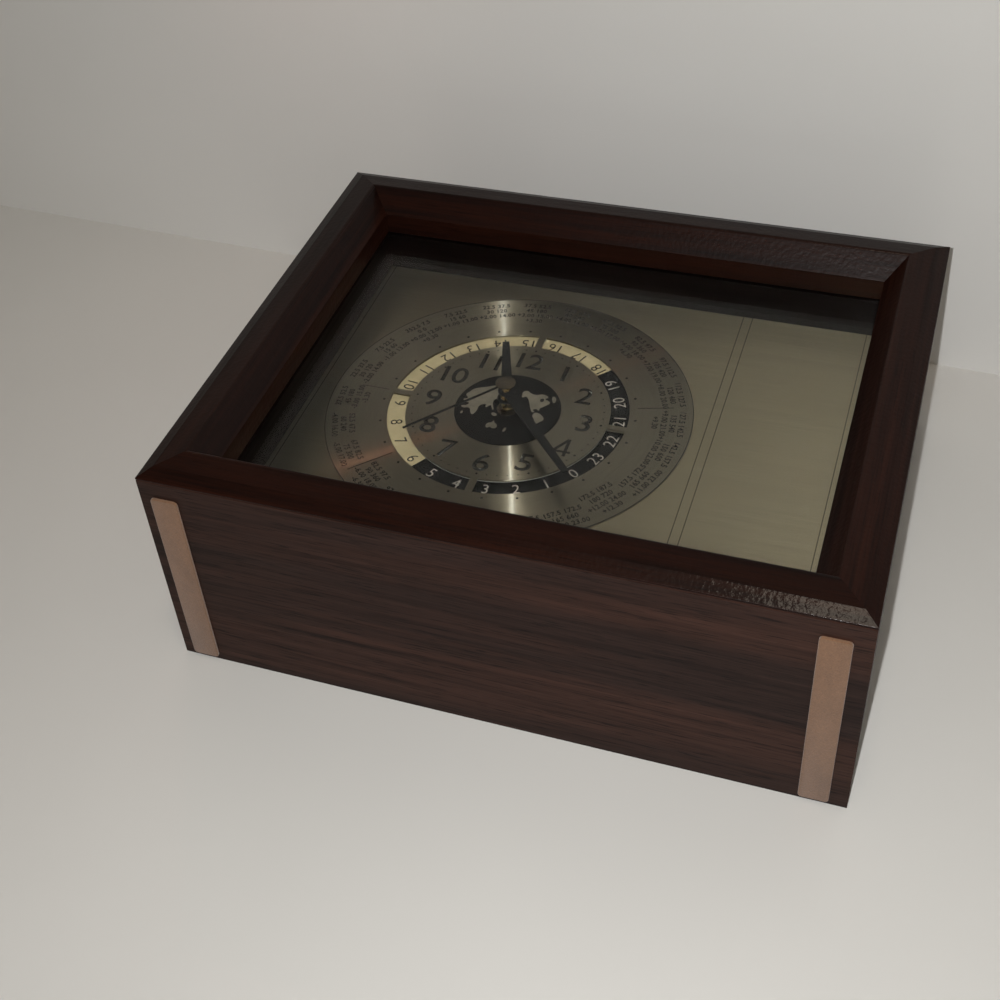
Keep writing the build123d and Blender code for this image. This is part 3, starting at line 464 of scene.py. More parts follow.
def brushed_disc(name, colour, roughness, anisotropic=1.0, streak=0.25):
    """Metal brushed in circles round the clock's axis: a wide sheen with a narrow streak in it."""
    finish = Finish(name, colour, roughness, Metallic=1.0, Anisotropic=anisotropic,
                    Anisotropic_Rotation=0.25)
    round_axis = finish.add("ShaderNodeTangent", direction_type="RADIAL", axis="Z").outputs[0]
    finish.set("Tangent", round_axis)
    place = finish.add("ShaderNodeSeparateXYZ", {0: finish.at(centre=CENTRE)})
    square_x = finish.maths("POWER", place.outputs[0], 2.0)
    square_y = finish.maths("POWER", place.outputs[1], 2.0)
    radius = finish.maths("SQRT", finish.maths("ADD", square_x, square_y))
    across = finish.maths("DIVIDE", place.outputs[0], finish.maths("ADD", radius, 1e-5))
    upward = finish.maths("DIVIDE", place.outputs[1], finish.maths("ADD", radius, 1e-5))
    polar = finish.add("ShaderNodeCombineXYZ", {0: finish.maths("MULTIPLY", radius, 1000.0),
                                                1: finish.maths("MULTIPLY", across, 2.2),
                                                2: finish.maths("MULTIPLY", upward, 2.2)}).outputs[0]
    rings = finish.noise(polar, 7.0, 3, 0.7)
    broad = finish.noise(polar, 0.9, 2, 0.5)
    shade = finish.ramp(rings, (0.3, scaled(colour, 0.80)), (0.7, scaled(colour, 1.13)))
    tone = finish.ramp(broad, (0.3, 0.93), (0.7, 1.05))
    metal = finish.blend(1.0, shade, tone, "MULTIPLY")
    finish.set("Base Color", metal)
    finish.set("Roughness", finish.span(rings, 0.25, 0.75, roughness - 0.05, roughness + 0.06))
    finish.set("Normal", finish.bump(rings, 0.5, 0.03 * MM))
    pale = finish.blend(0.2, metal, (0.8, 0.8, 0.8, 1))
    fine = finish.add("ShaderNodeBsdfAnisotropic", {"Color": pale, "Roughness": 0.30, "Anisotropy": 0.85,
                                                    "Rotation": 0.0, "Tangent": round_axis}, distribution="GGX")
    joined = finish.add("ShaderNodeMixShader", {0: streak, 1: finish.surface.outputs[0], 2: fine.outputs[0]})
    finish.tree.links.new(joined.outputs[0], finish.tree.nodes["Material Output"].inputs[0])
    return finish.material


def brushed_sheet(name, colour, roughness, anisotropic=0.8):
    """Metal brushed in one direction, along the piece's UV map."""
    finish = Finish(name, colour, roughness, Metallic=1.0, Anisotropic=anisotropic,
                    Anisotropic_Rotation=0.25)
    finish.set("Tangent", finish.add("ShaderNodeTangent", direction_type="UV_MAP", uv_map="brushing").outputs[0])
    stretch = 0.018
    streaks = finish.noise(finish.at((stretch, 1, 1)), 1400, 4, 0.65)
    long_streaks = finish.noise(finish.at((stretch * stretch, 1, 1)), 420, 3, 0.6)
    shade = finish.ramp(streaks, (0.3, scaled(colour, 0.89)), (0.7, scaled(colour, 1.08)))
    tone = finish.ramp(long_streaks, (0.3, 0.97), (0.7, 1.02))
    finish.set("Base Color", finish.blend(1.0, shade, tone, "MULTIPLY"))
    finish.set("Roughness", finish.span(streaks, 0.25, 0.75, roughness - 0.05, roughness + 0.06))
    finish.set("Normal", finish.bump(long_streaks, 0.05, 0.02 * MM))
    return finish.material


def plain_metal(name, colour, roughness, wear=0.12, scratch=0.06):
    """Turned, rolled or plated metal with a little tarnish and fine scratches."""
    finish = Finish(name, colour, roughness, Metallic=1.0)
    cloud = finish.noise(finish.at(), 260, 4, 0.6)
    fine = finish.noise(finish.at((1, 1, 0.08)), 5200, 3, 0.6)
    shade = finish.ramp(cloud, (0.3, scaled(colour, 1 - wear)), (0.7, scaled(colour, 1 + wear / 2)))
    finish.set("Base Color", shade)
    finish.set("Roughness", finish.span(cloud, 0.3, 0.7, roughness + 0.1, roughness - 0.05))
    finish.set("Normal", finish.bump(fine, scratch, 0.03 * MM))
    return finish.material


def enamel(name, colour, roughness, coat=0.0, peel=0.08, speck=0.25):
    """Paint, ink or enamel with a fine skin."""
    finish = Finish(name, colour, roughness, Specular_IOR_Level=0.07, Coat_Weight=coat, Coat_Roughness=0.12)
    cloud = finish.noise(finish.at(), 420, 4, 0.6)
    skin = finish.noise(finish.at(), 3200, 3, 0.5)
    finish.set("Base Color", finish.ramp(cloud, (0.3, scaled(colour, 1 - speck)), (0.7, scaled(colour, 1 + speck))))
    finish.set("Roughness", finish.span(skin, 0.3, 0.7, roughness - 0.05, roughness + 0.07))
    finish.set("Normal", finish.bump(skin, peel, 0.03 * MM))
    return finish.material


def moulded_plastic(name, colour, roughness, grain=0.25, grain_scale=2400):
    """Injection moulded plastic with a spark-eroded grain."""
    finish = Finish(name, colour, roughness)
    cloud = finish.noise(finish.at(), 90, 3, 0.5)
    pits = finish.cells(finish.at(), grain_scale)
    fine = finish.noise(finish.at(), grain_scale * 1.7, 3, 0.6)
    finish.set("Base Color", finish.ramp(cloud, (0.3, scaled(colour, 0.88)), (0.7, scaled(colour, 1.1))))
    finish.set("Roughness", finish.span(fine, 0.3, 0.7, roughness - 0.06, roughness + 0.08))
    finish.set("Normal", finish.bump(fine, grain * 0.6, 0.03 * MM, finish.bump(pits, grain, 0.04 * MM)))
    return finish.material


# Operators, one for each piece or group
class WORLDCLOCK_OT_case(bpy.types.Operator):
    """Veneers the four case boards and rounds their edges"""

    bl_idname = "world_clock.case"
    bl_label = "Case boards"

    def execute(self, context):
        looks = context.scene.world_clock_wood
        skins = {
            axis: wood("rosewood_veneer_" + axis, looks.veneer_dark, looks.veneer_light, axis,
                       gloss=0.45, coat=0.12, coat_roughness=0.25)
            for axis in ("X", "Y")
        }
        for side in SIDES:
            board = softened("veneered_board_" + side, "case_board_" + side, looks.arris, skins[ALONG[side]])
            fit(board, "case", "veneer", "case_board_" + side)
        return {"FINISHED"}


class WORLDCLOCK_OT_moulding(bpy.types.Operator):
    """Finishes the front moulding in gloss lacquer, and the liners in dull wood darkened with painted shade"""

    bl_idname = "world_clock.moulding"
    bl_label = "Front moulding"

    # How much of the lacquer's shine is left on each rail
    SHINE = {"top": 0.08, "base": 0.08, "left": 0.09, "right": 0.04}

    def execute(self, context):
        looks = context.scene.world_clock_wood
        for side in SIDES:
            skin = wood("lacquered_moulding_" + side, looks.moulding_dark, looks.moulding_light, ALONG[side],
                        gloss=0.38, coat=self.SHINE[side], coat_roughness=0.12, peel=0.33, pores=0.7)
            rail = softened("moulding_" + side, "frame_rail_" + side, looks.arris, skin,
                            sharpest=7, segments=3)
            fit(rail, "case", "moulding", "frame_rail_" + side)
            # Liners: the moulding's wood without lacquer, darkened to a fifth of its colour as painted shade of the
            # recess behind the glass
            dull_and_shade_darkened = wood("dull_lining_" + side, scaled(looks.moulding_dark, 0.2), scaled(looks.moulding_light, 0.2),
                        ALONG[side], gloss=0.6, coat=0.0, pores=0.0)
            trim = softened("lining_" + side, "liner_" + side, looks.arris / 2, dull_and_shade_darkened)
            fit(trim, "case", "liner", "liner_" + side)
        return {"FINISHED"}


class WORLDCLOCK_OT_felt(bpy.types.Operator):
    """Adds the two felt strips that the clock stands on"""

    bl_idname = "world_clock.felt"
    bl_label = "Felt strips"

    def execute(self, context):
        colour = (0.185, 0.093, 0.047)
        finish = Finish("tan_felt", colour, 0.95, Sheen_Weight=0.35, Sheen_Roughness=0.5)
        matted = finish.noise(finish.at(), 1500, 6, 0.7, 0.8)
        cloud = finish.noise(finish.at((1, 1, 0.5)), 110, 4, 0.6)
        fibre = finish.noise(finish.at((1, 1, 0.25)), 4200, 4, 0.65, 1.5)
        shade = finish.ramp(matted, (0.3, scaled(colour, 0.74)), (0.7, scaled(colour, 1.22)))
        finish.set("Base Color", finish.blend(1.0, shade, finish.ramp(cloud, (0.3, 0.86), (0.7, 1.1)), "MULTIPLY"))
        finish.set("Normal", finish.bump(fibre, 0.5, 0.12 * MM, finish.bump(matted, 0.6, 0.2 * MM)))
        for side in ("left", "right"):
            node = "felt_strip_" + side
            low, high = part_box(node)
            size = high - low
            bm = bmesh.new()
            place = Matrix.Translation((low + high) / 2) @ Matrix.Diagonal((*size, 1))
            bmesh.ops.create_cube(bm, size=1, matrix=place)
            corners = [e for e in bm.edges if abs((e.verts[0].co - e.verts[1].co).y) > size.y / 2]
            bmesh.ops.bevel(bm, geom=corners, offset=1.4 * MM, offset_type="OFFSET", affect="EDGES",
                            segments=5, profile=0.5, material=-1)
            rim = [e for e in bm.edges if all(v.co.y < low.y + 1e-6 for v in e.verts)]
            bmesh.ops.bevel(bm, geom=rim, offset=0.35 * MM, offset_type="OFFSET", affect="EDGES",
                            segments=3, profile=0.5, material=-1)
            strip = mesh_object("felt_" + side, bm, finish.material)
            strip.data.shade_smooth()
            strip.data.set_sharp_from_angle(angle=math.radians(50))
            fit(strip, "case", "felt", node)
        return {"FINISHED"}


class WORLDCLOCK_OT_glass(bpy.types.Operator):
    """Gives the front pane clear glass that lets the lamps' light through"""

    bl_idname = "world_clock.glass"
    bl_label = "Glass"

    def execute(self, context):
        finish = Finish("clear_glass", (0.90, 0.91, 0.90), 0.0, IOR=1.17, Transmission_Weight=1.0)
        smear = finish.noise(finish.at(), 26, 5, 0.6)
        finish.set("Roughness", finish.ramp(smear, (0.6, 0.0), (0.95, 0.02)))
        clear = finish.add("ShaderNodeBsdfTransparent", {0: (0.84, 0.86, 0.85, 1)})
        rays = finish.add("ShaderNodeLightPath").outputs["Is Shadow Ray"]
        joined = finish.add("ShaderNodeMixShader", {0: rays, 1: finish.surface.outputs[0], 2: clear.outputs[0]})
        finish.tree.links.new(joined.outputs[0], finish.tree.nodes["Material Output"].inputs[0])
        pane = frame["nodes"]["glass_pane"]
        pane.data.materials.clear()
        pane.data.materials.append(finish.material)
        return {"FINISHED"}


class WORLDCLOCK_OT_dial_plate(bpy.types.Operator):
    """Adds the brushed dial plate and its printed border lines"""

    bl_idname = "world_clock.dial_plate"
    bl_label = "Dial plate"

    def execute(self, context):
        looks = context.scene.world_clock_dial
        bm = merged_node("dial_plate")
        bmesh.ops.triangulate(bm, faces=bm.faces)
        layer = bm.loops.layers.uv.new("brushing")
        for face in bm.faces:
            for loop in face.loops:
                loop[layer].uv = (loop.vert.co.x * 4, loop.vert.co.y * 4)
        metal = brushed_sheet("champagne_sheet", scaled(looks.metal, 0.92), 0.42)
        plate = mesh_object("brushed_dial_plate", bm, metal, recalculate=False)
        fit(plate, "case", "dial_metal", "dial_plate")
        ink = enamel("plate_ink", looks.ink, 0.4)
        low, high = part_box("dial_plate")
        bottom, top = PLATE_TOP - looks.print_lift, PLATE_TOP + looks.print_lift
        bm = bmesh.new()
        for x in PLATE_LINES:
            bar(bm, Vector((x, low.y, 0)), Vector((x, high.y, 0)), PLATE_LINE, bottom, top)
        lines = mesh_object("plate_lines", bm, ink)
        fit(lines, "case", "black_enamel")
        return {"FINISHED"}


class WORLDCLOCK_OT_zone_disc(bpy.types.Operator):
    """Adds the circular-brushed disc with the time zone numbers, dots and lines"""

    bl_idname = "world_clock.zone_disc"
    bl_label = "Time zone disc"

    def execute(self, context):
        looks = context.scene.world_clock_dial
        disc = frame["nodes"]["city_disc"]
        metal = brushed_disc("champagne_disc", scaled(looks.metal, 0.84), 0.33)
        disc.data.materials.clear()
        disc.data.materials.append(metal)
        ink = enamel("disc_ink", looks.ink, 0.65)
        bottom, top = DISC_TOP - looks.print_lift, DISC_TOP + looks.print_lift
        rim = spun("disc_rim_line", flat_ring(*RIM_LINE, bottom, top), ink, steps=180)
        fit(rim, "case", "black_enamel")
        bm = bmesh.new()
        hours = [math.radians(MIDNIGHT_ZONE % 15 + 15 * hour) for hour in range(24)]
        dots(bm, [clockwise(HOUR_DOTS, angle) for angle in hours], HOUR_DOT, bottom, top, 14)
        small = [clockwise(MINUTE_DOTS, math.radians(6 * k)) for k in range(60) if k % 5]
        dots(bm, small, MINUTE_DOT, bottom, top, 10)
        large = [clockwise(MINUTE_DOTS, math.radians(30 * k)) for k in range(12)]
        dots(bm, large, FIFTH_DOT, bottom, top, 14)
        for angle, inner, outer, width in DISC_LINES:
            turn = math.radians(angle)
            bar(bm, clockwise(inner * MM, turn), clockwise(outer * MM, turn), width * MM, bottom, top)
        marks = mesh_object("disc_dots_and_lines", bm, ink)
        fit(marks, "case", "black_enamel")
        self.numbers(looks, ink)
        return {"FINISHED"}

    def numbers(self, looks, ink):
        """Small rows of zone numbers: hours from the prime meridian, its own meridian and its two limits."""
        rows = []
        for zone in range(-11, 13):
            angle = (MIDNIGHT_ZONE + 15 * (12 + zone)) % 360
            flipped = 104 < angle < 256
            turn = math.radians((180 if flipped else 0) - angle)
            meridian = abs(zone) * 15
            texts = [f"{meridian - 7.5:g} {meridian + 7.5:g}" if zone else "352.5 7.5",
                     f"{meridian} {meridian * 4}",
                     f"{zone:+d}.00 {abs(zone) + 12}.00"]
            if zone % 3 == 0:
                texts.append(f"{zone:+d}.30")
            radii = ZONE_ROWS
            if flipped:
                radii = radii[:len(texts)][::-1]
            for text, radius in zip(texts, radii):
                place = clockwise(radius, math.radians(angle))
                place.z = DISC_TOP
                rows.append((text, looks.zone_height, place, turn))
        piece = lettering("zone_numbers", rows, looks.print_lift, ink, weight=0.022, smoothness=2, narrow=0.92)
        fit(piece, "case", "black_enamel")


class WORLDCLOCK_OT_hour_numerals(bpy.types.Operator):
    """Prints the numerals 1 to 12"""

    bl_idname = "world_clock.hour_numerals"
    bl_label = "Hour numerals"

    def execute(self, context):
        looks = context.scene.world_clock_dial
        ink = enamel("numeral_ink", looks.ink, 0.65, coat=0.03)
        rows = []
        for hour in range(1, 13):
            place = clockwise(HOUR_NUMERALS, math.radians(30 * hour))
            place.z = DISC_TOP
            rows.append((str(hour), looks.numeral_height, place, 0.0))
        piece = lettering("hour_numerals", rows, looks.print_lift, ink, weight=0.010, smoothness=8, narrow=1.06,
                          spacing=0.88)
        fit(piece, "case", "black_enamel")
        return {"FINISHED"}


class WORLDCLOCK_OT_world_map(bpy.types.Operator):
    """Finishes the black map disc and lays the brushed continents on it"""

    bl_idname = "world_clock.world_map"
    bl_label = "World map"

    # Rough coasts of a plain world map with the Pacific in the middle, in mm from the clock's centre
    COASTS = {
        "asia": ((-17.9, -2.5), (-16.2, -1.6), (-15.6, -0.2), (-17.2, 0.2), (-18.3, 1.6), (-17.0, 2.6), (-18.2, 4.2),
                 (-17.3, 6.6), (-16.4, 8.2), (-14.6, 9.4), (-12.0, 10.6), (-9.4, 12.0), (-6.4, 13.2), (-3.6, 13.0),
                 (-1.6, 11.6), (-2.8, 10.7), (-4.4, 9.6), (-4.2, 8.0), (-5.6, 7.2), (-5.0, 5.4), (-6.4, 4.4),
                 (-6.6, 2.2), (-5.7, -0.2), (-5.3, -1.7), (-6.3, -0.5), (-7.0, 0.5), (-7.8, -0.3), (-8.5, -1.0),
                 (-9.0, 0.6), (-10.1, 0.3), (-11.2, -0.9), (-11.2, -3.2), (-11.6, -5.2), (-12.2, -6.2), (-13.3, -5.2),
                 (-14.3, -3.2), (-15.4, -2.9), (-16.6, -3.3)),
        "north_america": ((2.9, 9.8), (2.7, 11.0), (4.3, 12.2), (5.7, 11.3), (8.5, 10.8), (10.2, 11.6), (12.0, 11.4),
                          (13.1, 10.3), (12.3, 9.2), (13.4, 8.6), (14.6, 7.6), (14.0, 6.1), (13.2, 5.0), (11.8, 3.2),
                          (11.9, 2.1), (10.6, 2.7), (9.6, 2.1), (10.3, 0.9), (9.5, 0.8), (8.4, 2.4), (7.3, 4.8),
                          (6.0, 7.4), (4.6, 8.7), (3.4, 8.0)),
        "south_america": ((10.8, 0.6), (12.2, 0.6), (13.2, 0.1), (14.8, -1.6), (15.0, -2.9), (13.9, -4.2),
                          (12.9, -5.6), (12.3, -6.6), (11.9, -4.9), (11.4, -3.0), (10.4, -1.6)),
        "greenland": ((14.9, 11.4), (15.9, 10.9), (16.5, 9.0), (16.1, 7.8), (15.2, 8.9), (14.7, 10.2)),
        "australia": ((-5.2, -10.5), (-4.6, -9.3), (-3.5, -8.7), (-3.0, -7.6), (-2.4, -8.7), (-1.2, -9.6),
                      (-1.0, -11.3), (-2.2, -12.0), (-3.4, -11.4), (-4.4, -12.2)),
        "islands": ((-5.2, -3.6), (-4.0, -3.3), (-3.0, -4.6), (-4.2, -5.0)),
        "eastern_islands": ((-2.2, 7.6), (-1.6, 8.6), (-1.1, 8.0), (-1.9, 6.4), (-2.9, 5.9)),
        "south_islands": ((2.0, -11.8), (2.6, -10.4), (3.0, -11.2), (2.2, -12.8)),
        "madagascar": ((-17.0, -5.9), (-16.5, -5.2), (-16.6, -6.8)),
    }
    BAY = ((10.7, 8.9), (11.7, 9.1), (12.0, 8.0), (11.3, 7.2), (10.6, 7.9))

    def execute(self, context):
        disc = frame["nodes"]["map_disc"]
        disc.data.materials.clear()
        disc.data.materials.append(enamel("map_black", (0.003, 0.003, 0.003), 0.4, peel=0.05))
        curve = bpy.data.curves.new("coasts", "CURVE")
        curve.dimensions = "2D"
        curve.fill_mode = "BOTH"
        curve.extrude = 0.015 * MM
        curve.resolution_u = 5
        for coast in (*self.COASTS.values(), self.BAY):
            spline = curve.splines.new("BEZIER")
            spline.bezier_points.add(len(coast) - 1)
            spline.use_cyclic_u = True
            for point, (x, y) in zip(spline.bezier_points, coast):
                point.co = (CENTRE.x + x * MM, CENTRE.y + y * MM, 0)
                point.handle_left_type = point.handle_right_type = "AUTO"
        holder = bpy.data.objects.new("coasts", curve)
        context.scene.collection.objects.link(holder)
        context.view_layer.update()
        mesh = bpy.data.meshes.new_from_object(holder.evaluated_get(context.evaluated_depsgraph_get()))
        bpy.data.objects.remove(holder)
        bm = bmesh.new()
        add_mesh(bm, mesh, Matrix.Translation(Vector((0, 0, MAP_TOP))))
        bmesh.ops.remove_doubles(bm, verts=bm.verts, dist=1e-7)
        land = mesh_object("continents", bm, plain_metal("land_silver", (0.30, 0.275, 0.22), 0.42, wear=0.2))
        fit(land, "case", "disc_metal")
        return {"FINISHED"}


class WORLDCLOCK_OT_day_night(bpy.types.Operator):
    """Prints the day and night halves and the numerals 0 to 23 on the turning ring"""

    bl_idname = "world_clock.day_night"
    bl_label = "Day and night ring"

    def execute(self, context):
        looks = context.scene.world_clock_ring
        lift = context.scene.world_clock_dial.print_lift
        day_ink = enamel("day_cream", looks.day, 0.45, speck=0.06)
        night_ink = enamel("night_black", looks.night, 0.35)
        bottom, top = RING_TOP - lift, RING_TOP + lift
        profile = flat_ring(*RING_PRINT, bottom, top)
        to_angle = math.radians(90) - looks.midnight
        # The day half reaches a little past 6 and 18, so that both stand wholly on it
        past = math.radians(4.5)
        night = spun("night_half", profile, night_ink, 90, math.pi - 2 * past, to_angle - math.pi / 2 + past)
        day = spun("day_half", profile, day_ink, 90, math.pi + 2 * past, to_angle + math.pi / 2 - past)
        for half in (night, day):
            fit(half, "day_night", "ring_print")
        dark_rows, pale_rows = [], []
        for hour in range(24):
            angle = looks.midnight + math.radians(15 * hour)
            place = clockwise(looks.numeral_radius, angle)
            place.z = RING_TOP + 1.5 * lift
            row = (str(hour), looks.numeral_height, place, math.pi - angle)
            (dark_rows if 6 <= hour <= 18 else pale_rows).append(row)
        dark = lettering("day_numerals", dark_rows, lift, enamel("ring_ink", (0.02, 0.018, 0.014), 0.4))
        white = enamel("ring_white", (0.30, 0.27, 0.24), 0.45, speck=0.05)
        pale = lettering("night_numerals", pale_rows, lift, white)
        for numerals in (dark, pale):
            fit(numerals, "day_night", "ring_print")
        return {"FINISHED"}


class WORLDCLOCK_OT_hands(bpy.types.Operator):
    """Finishes the three hands and the brass of the hub"""

    bl_idname = "world_clock.hands"
    bl_label = "Hands and hub"

    def execute(self, context):
        black = enamel("hand_black", (0.007, 0.007, 0.007), 0.33, coat=0.06, peel=0.05)
        brass = plain_metal("hub_brass", (0.10, 0.082, 0.058), 0.13, wear=0.2, scratch=0.01)
        for name, node, body, radius in (("hour_pointer", "hour_hand", "hour", 0.08),
                                         ("minute_pointer", "minute_hand", "minute", 0.08),
                                         ("seconds_pointer", "second_hand", "seconds", 0.05)):
            hand = softened(name, node, radius * MM, black, keep_mitres=False)
            fit(hand, body, "hand_black", node)
        cap = softened("hub_cap", "centre_cap", 0.12 * MM, brass, segments=3, keep_mitres=False)
        fit(cap, "seconds", "brass", "centre_cap")
        collar = softened("hub_collar", "dial_eyelet", 0.12 * MM, brass, segments=3, keep_mitres=False)
        fit(collar, "case", "brass", "dial_eyelet")
        return {"FINISHED"}


class WORLDCLOCK_OT_works(bpy.types.Operator):
    """Gives the back panel, the fixings and the movement their finishes"""

    bl_idname = "world_clock.works"
    bl_label = "Back and movement"

    def execute(self, context):
        black = moulded_plastic("movement_black", (0.022, 0.022, 0.024), 0.42)
        grey = moulded_plastic("knob_grey", (0.13, 0.13, 0.135), 0.45)
        nylon = moulded_plastic("nylon_white", (0.62, 0.60, 0.53), 0.4, grain=0.1)
        pine = wood("sawn_pine", (0.40, 0.24, 0.11), (0.58, 0.40, 0.21), "Z", 0.7, coat=0.0, pores=0.4)
        steel = plain_metal("zinc_steel", (0.50, 0.50, 0.49), 0.32, wear=0.15, scratch=0.12)
        brass = plain_metal("wheel_brass", (0.38, 0.28, 0.135), 0.24, wear=0.2)
        copper = plain_metal("coil_copper", (0.55, 0.20, 0.08), 0.3)
        iron = plain_metal("stator_iron", (0.22, 0.22, 0.23), 0.5, wear=0.2)
        green = enamel("board_green", (0.03, 0.13, 0.045), 0.35, coat=0.3)
        finishes = {
            "nylon": nylon, "black_plastic": black, "grey_plastic": grey, "softwood": pine, "steel": steel,
            "wheel_brass": brass, "copper": copper, "lamination": iron, "circuit": green,
            "hardboard": self.hardboard(), "battery": self.jacket(), "ring_print": nylon,
        }
        slots = {part["node"]: part["material_slot"] for part in frame["record"]["subparts"]}
        for node, piece in frame["nodes"].items():
            if slots[node] in finishes:
                piece.data.materials.clear()
                piece.data.materials.append(finishes[slots[node]])
        return {"FINISHED"}

    def hardboard(self):
        """Pressed brown fibreboard."""
        colour = (0.135, 0.068, 0.032)
        finish = Finish("pressed_fibreboard", colour, 0.62)
        fibre = finish.noise(finish.at(), 900, 7, 0.72, 1.2)
        flock = finish.noise(finish.at(), 120, 5, 0.6)
        shade = finish.ramp(fibre, (0.28, scaled(colour, 0.62)), (0.72, scaled(colour, 1.45)))
        finish.set("Base Color", finish.blend(1.0, shade, finish.ramp(flock, (0.3, 0.84), (0.7, 1.1)), "MULTIPLY"))
        finish.set("Roughness", finish.span(fibre, 0.3, 0.7, 0.52, 0.72))
        finish.set("Normal", finish.bump(fibre, 0.35, 0.08 * MM))
        return finish.material

    def jacket(self):
        """A cell's printed steel jacket: bare metal at both ends."""
        low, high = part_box("battery")
        finish = Finish("cell_jacket", (0.05, 0.08, 0.2), 0.3, Coat_Weight=0.4, Coat_Roughness=0.1)
        x = finish.add("ShaderNodeSeparateXYZ", {0: finish.at()}).outputs[0]
        share = finish.span(x, low.x, high.x, 0.0, 1.0)
        band = finish.ramp(share, (0.0, 1.0), (0.035, 1.0), (0.036, 0.0), (0.93, 0.0), (0.931, 1.0))
        scuff = finish.noise(finish.at(), 300, 4, 0.6)
        paint = finish.ramp(scuff, (0.3, (0.035, 0.06, 0.15)), (0.7, (0.055, 0.09, 0.21)))
        finish.set("Base Color", finish.blend(band, paint, (0.55, 0.55, 0.54, 1)))
        finish.set("Metallic", band)
        finish.set("Roughness", finish.span(scuff, 0.3, 0.7, 0.25, 0.38))
        return finish.material


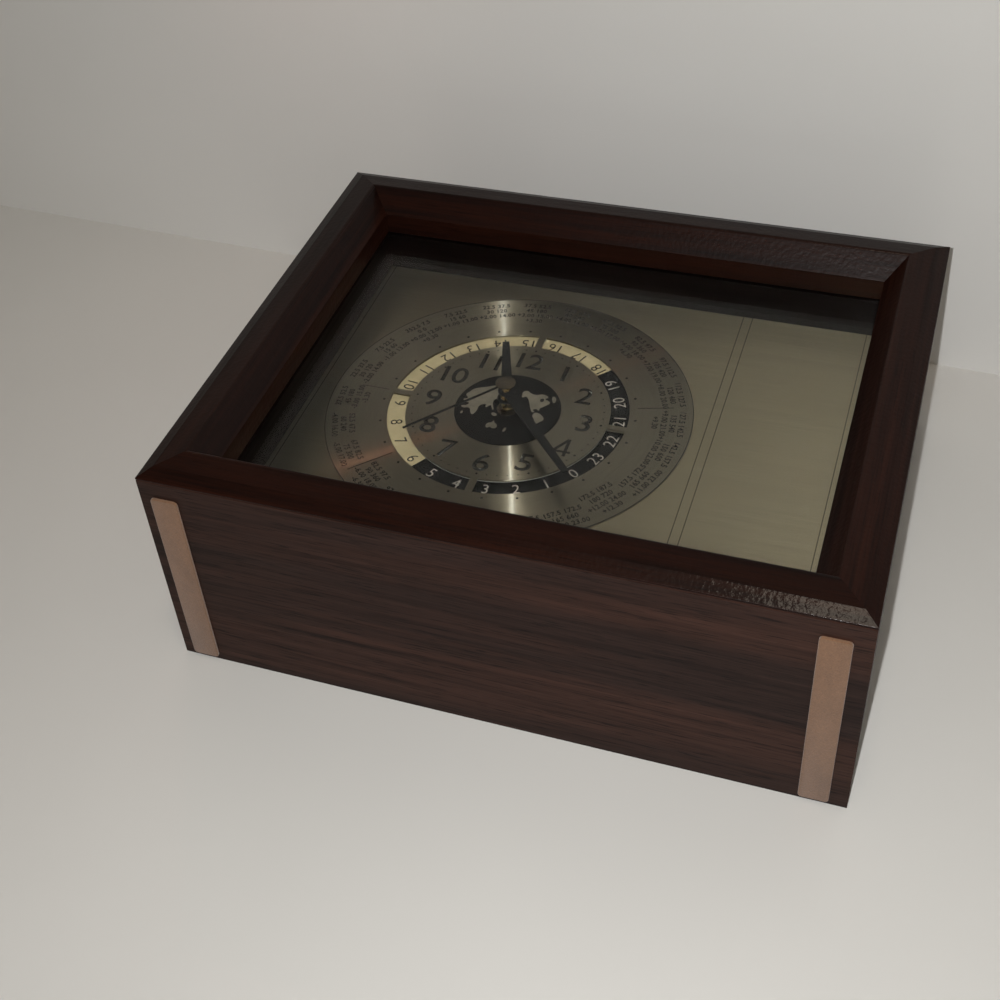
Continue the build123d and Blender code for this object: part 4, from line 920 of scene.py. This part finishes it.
class WORLDCLOCK_OT_stage(bpy.types.Operator):
    """Adds the floor, the wall, the lamps and the camera"""

    bl_idname = "world_clock.stage"
    bl_label = "Stage"

    def execute(self, context):
        looks = context.scene.world_clock_stage
        self.backdrop(looks)
        self.lamps(context, looks)
        self.camera(context)
        context.scene.view_settings.view_transform = "Standard"
        return {"FINISHED"}

    def backdrop(self, looks):
        def surface(name, colour):
            finish = Finish(name, colour, 0.55)
            cloud = finish.noise(finish.at(), 3.0, 4, 0.55)
            skin = finish.noise(finish.at(), 260, 4, 0.5)
            finish.set("Base Color", finish.ramp(cloud, (0.3, scaled(colour, 0.96)), (0.7, scaled(colour, 1.03))))
            finish.set("Normal", finish.bump(skin, 0.05, 0.2 * MM))
            # From behind, the clock is seen through the wall and the floor
            behind = finish.add("ShaderNodeNewGeometry").outputs["Backfacing"]
            clear = finish.add("ShaderNodeBsdfTransparent")
            joined = finish.add("ShaderNodeMixShader", {0: behind, 1: finish.surface.outputs[0], 2: clear.outputs[0]})
            finish.tree.links.new(joined.outputs[0], finish.tree.nodes["Material Output"].inputs[0])
            return finish.material

        reach = 2.5
        # The floor is open under the clock, where only a view from below reaches
        open_x, open_y, open_middle = 123.4 * MM, 99.6 * MM, 0.5 * MM
        bm = bmesh.new()
        corners = ((-1, -1), (1, -1), (1, 1), (-1, 1))
        outer = [bm.verts.new((reach * x, reach * y, 0)) for x, y in corners]
        inner = [bm.verts.new((open_x * x, open_middle + open_y * y, 0)) for x, y in corners]
        for i in range(4):
            j = (i + 1) % 4
            bm.faces.new((outer[i], outer[j], inner[j], inner[i]))
        floor = mesh_object("floor", bm, surface("floor_paint", looks.floor), recalculate=False)
        wall_y, wall_turn = 148 * MM, math.radians(-1.95)
        bm = bmesh.new()
        place = (
            Matrix.Translation((0, wall_y, 0)) @ Matrix.Rotation(wall_turn, 4, "Z")
            @ Matrix.Rotation(math.radians(90), 4, "X")
        )
        bmesh.ops.create_grid(bm, x_segments=2, y_segments=2, size=reach, matrix=place)
        wall = mesh_object("wall", bm, surface("wall_paint", looks.wall), recalculate=False)

    def lamps(self, context, looks):
        world = bpy.data.worlds.new("room")
        context.scene.world = world
        world.use_nodes = True
        sky = world.node_tree.nodes["Background"]
        sky.inputs[0].default_value = (1.0, 0.92, 0.80, 1)
        sky.inputs[1].default_value = looks.room
        target = Vector((0.03, 0.03, 0.08))
        for name, place, size, power, colour in (
            ("ceiling_lamp", (0.09, -0.29, 1.30), 0.16, 1.6, (1.0, 0.88, 0.72)),
            ("side_lamp", (-0.215, 0.085, 0.24), 0.002, 0.018, (1.0, 0.42, 0.26)),
            ("under_lamp", (0.25, -0.3, -0.9), 0.30, 3.0, (1.0, 0.95, 0.88)),
            ("camera_lamp", (0.1108, -0.3943, 0.425), 0.005, 2.15, (0.985, 1.0, 1.0)),
        ):
            light = bpy.data.lights.new(name, "AREA")
            light.shape = "DISK"
            light.size = size
            light.energy = power
            light.color = colour
            lamp = bpy.data.objects.new(name, light)
            context.scene.collection.objects.link(lamp)
            lamp.location = place
            lamp.rotation_euler = (target - Vector(place)).to_track_quat("-Z", "Y").to_euler()

    def camera(self, context):
        """The photograph's own view, solved from the corners of the case."""
        right = Vector((0.94028787, 0.33236475, -0.07343293))
        down = Vector((0.17238923, -0.65102734, -0.73921942))
        forward = Vector((-0.29349732, 0.68242001, -0.66944921))
        lens = bpy.data.cameras.new("photo_camera")
        lens.lens = 52.861
        lens.sensor_width = 36.0
        lens.shift_x = 0.04174
        lens.shift_y = -0.0476
        lens.clip_start = 0.01
        camera = bpy.data.objects.new("photo_camera", lens)
        context.scene.collection.objects.link(camera)
        axes = Matrix((right, -down, -forward)).transposed().to_4x4()
        camera.matrix_world = Matrix.Translation((0.12542, -0.39940, 0.42487)) @ axes
        context.scene.camera = camera


class WORLDCLOCK_PT_panel(bpy.types.Panel):
    """The clock's pieces and their settings"""

    bl_label = "World clock"
    bl_idname = "WORLDCLOCK_PT_panel"
    bl_space_type = "VIEW_3D"
    bl_region_type = "UI"
    bl_category = "World clock"

    def draw(self, context):
        for name, group in GROUPS.items():
            box = self.layout.box()
            box.label(text=group.__doc__)
            for key in group.__annotations__:
                box.prop(getattr(context.scene, name), key)
        for operator in OPERATORS:
            self.layout.operator(operator.bl_idname)


GROUPS = {
    "world_clock_wood": WoodLooks,
    "world_clock_dial": DialLooks,
    "world_clock_ring": RingLooks,
    "world_clock_stage": StageLooks,
}
OPERATORS = (
    WORLDCLOCK_OT_stage,
    WORLDCLOCK_OT_case,
    WORLDCLOCK_OT_moulding,
    WORLDCLOCK_OT_felt,
    WORLDCLOCK_OT_dial_plate,
    WORLDCLOCK_OT_zone_disc,
    WORLDCLOCK_OT_hour_numerals,
    WORLDCLOCK_OT_world_map,
    WORLDCLOCK_OT_day_night,
    WORLDCLOCK_OT_works,
    WORLDCLOCK_OT_hands,
    WORLDCLOCK_OT_glass,
)


def register():
    for name, group in GROUPS.items():
        bpy.utils.register_class(group)
        setattr(bpy.types.Scene, name, bpy.props.PointerProperty(type=group))
    for operator in OPERATORS:
        bpy.utils.register_class(operator)
    bpy.utils.register_class(WORLDCLOCK_PT_panel)


def unregister():
    bpy.utils.unregister_class(WORLDCLOCK_PT_panel)
    for operator in reversed(OPERATORS):
        bpy.utils.unregister_class(operator)
    for name, group in GROUPS.items():
        delattr(bpy.types.Scene, name)
        bpy.utils.unregister_class(group)


def main():
    register()
    for operator in OPERATORS:
        family, name = operator.bl_idname.split(".")
        getattr(getattr(bpy.ops, family), name)()


if __name__ == "__main__":
    main()
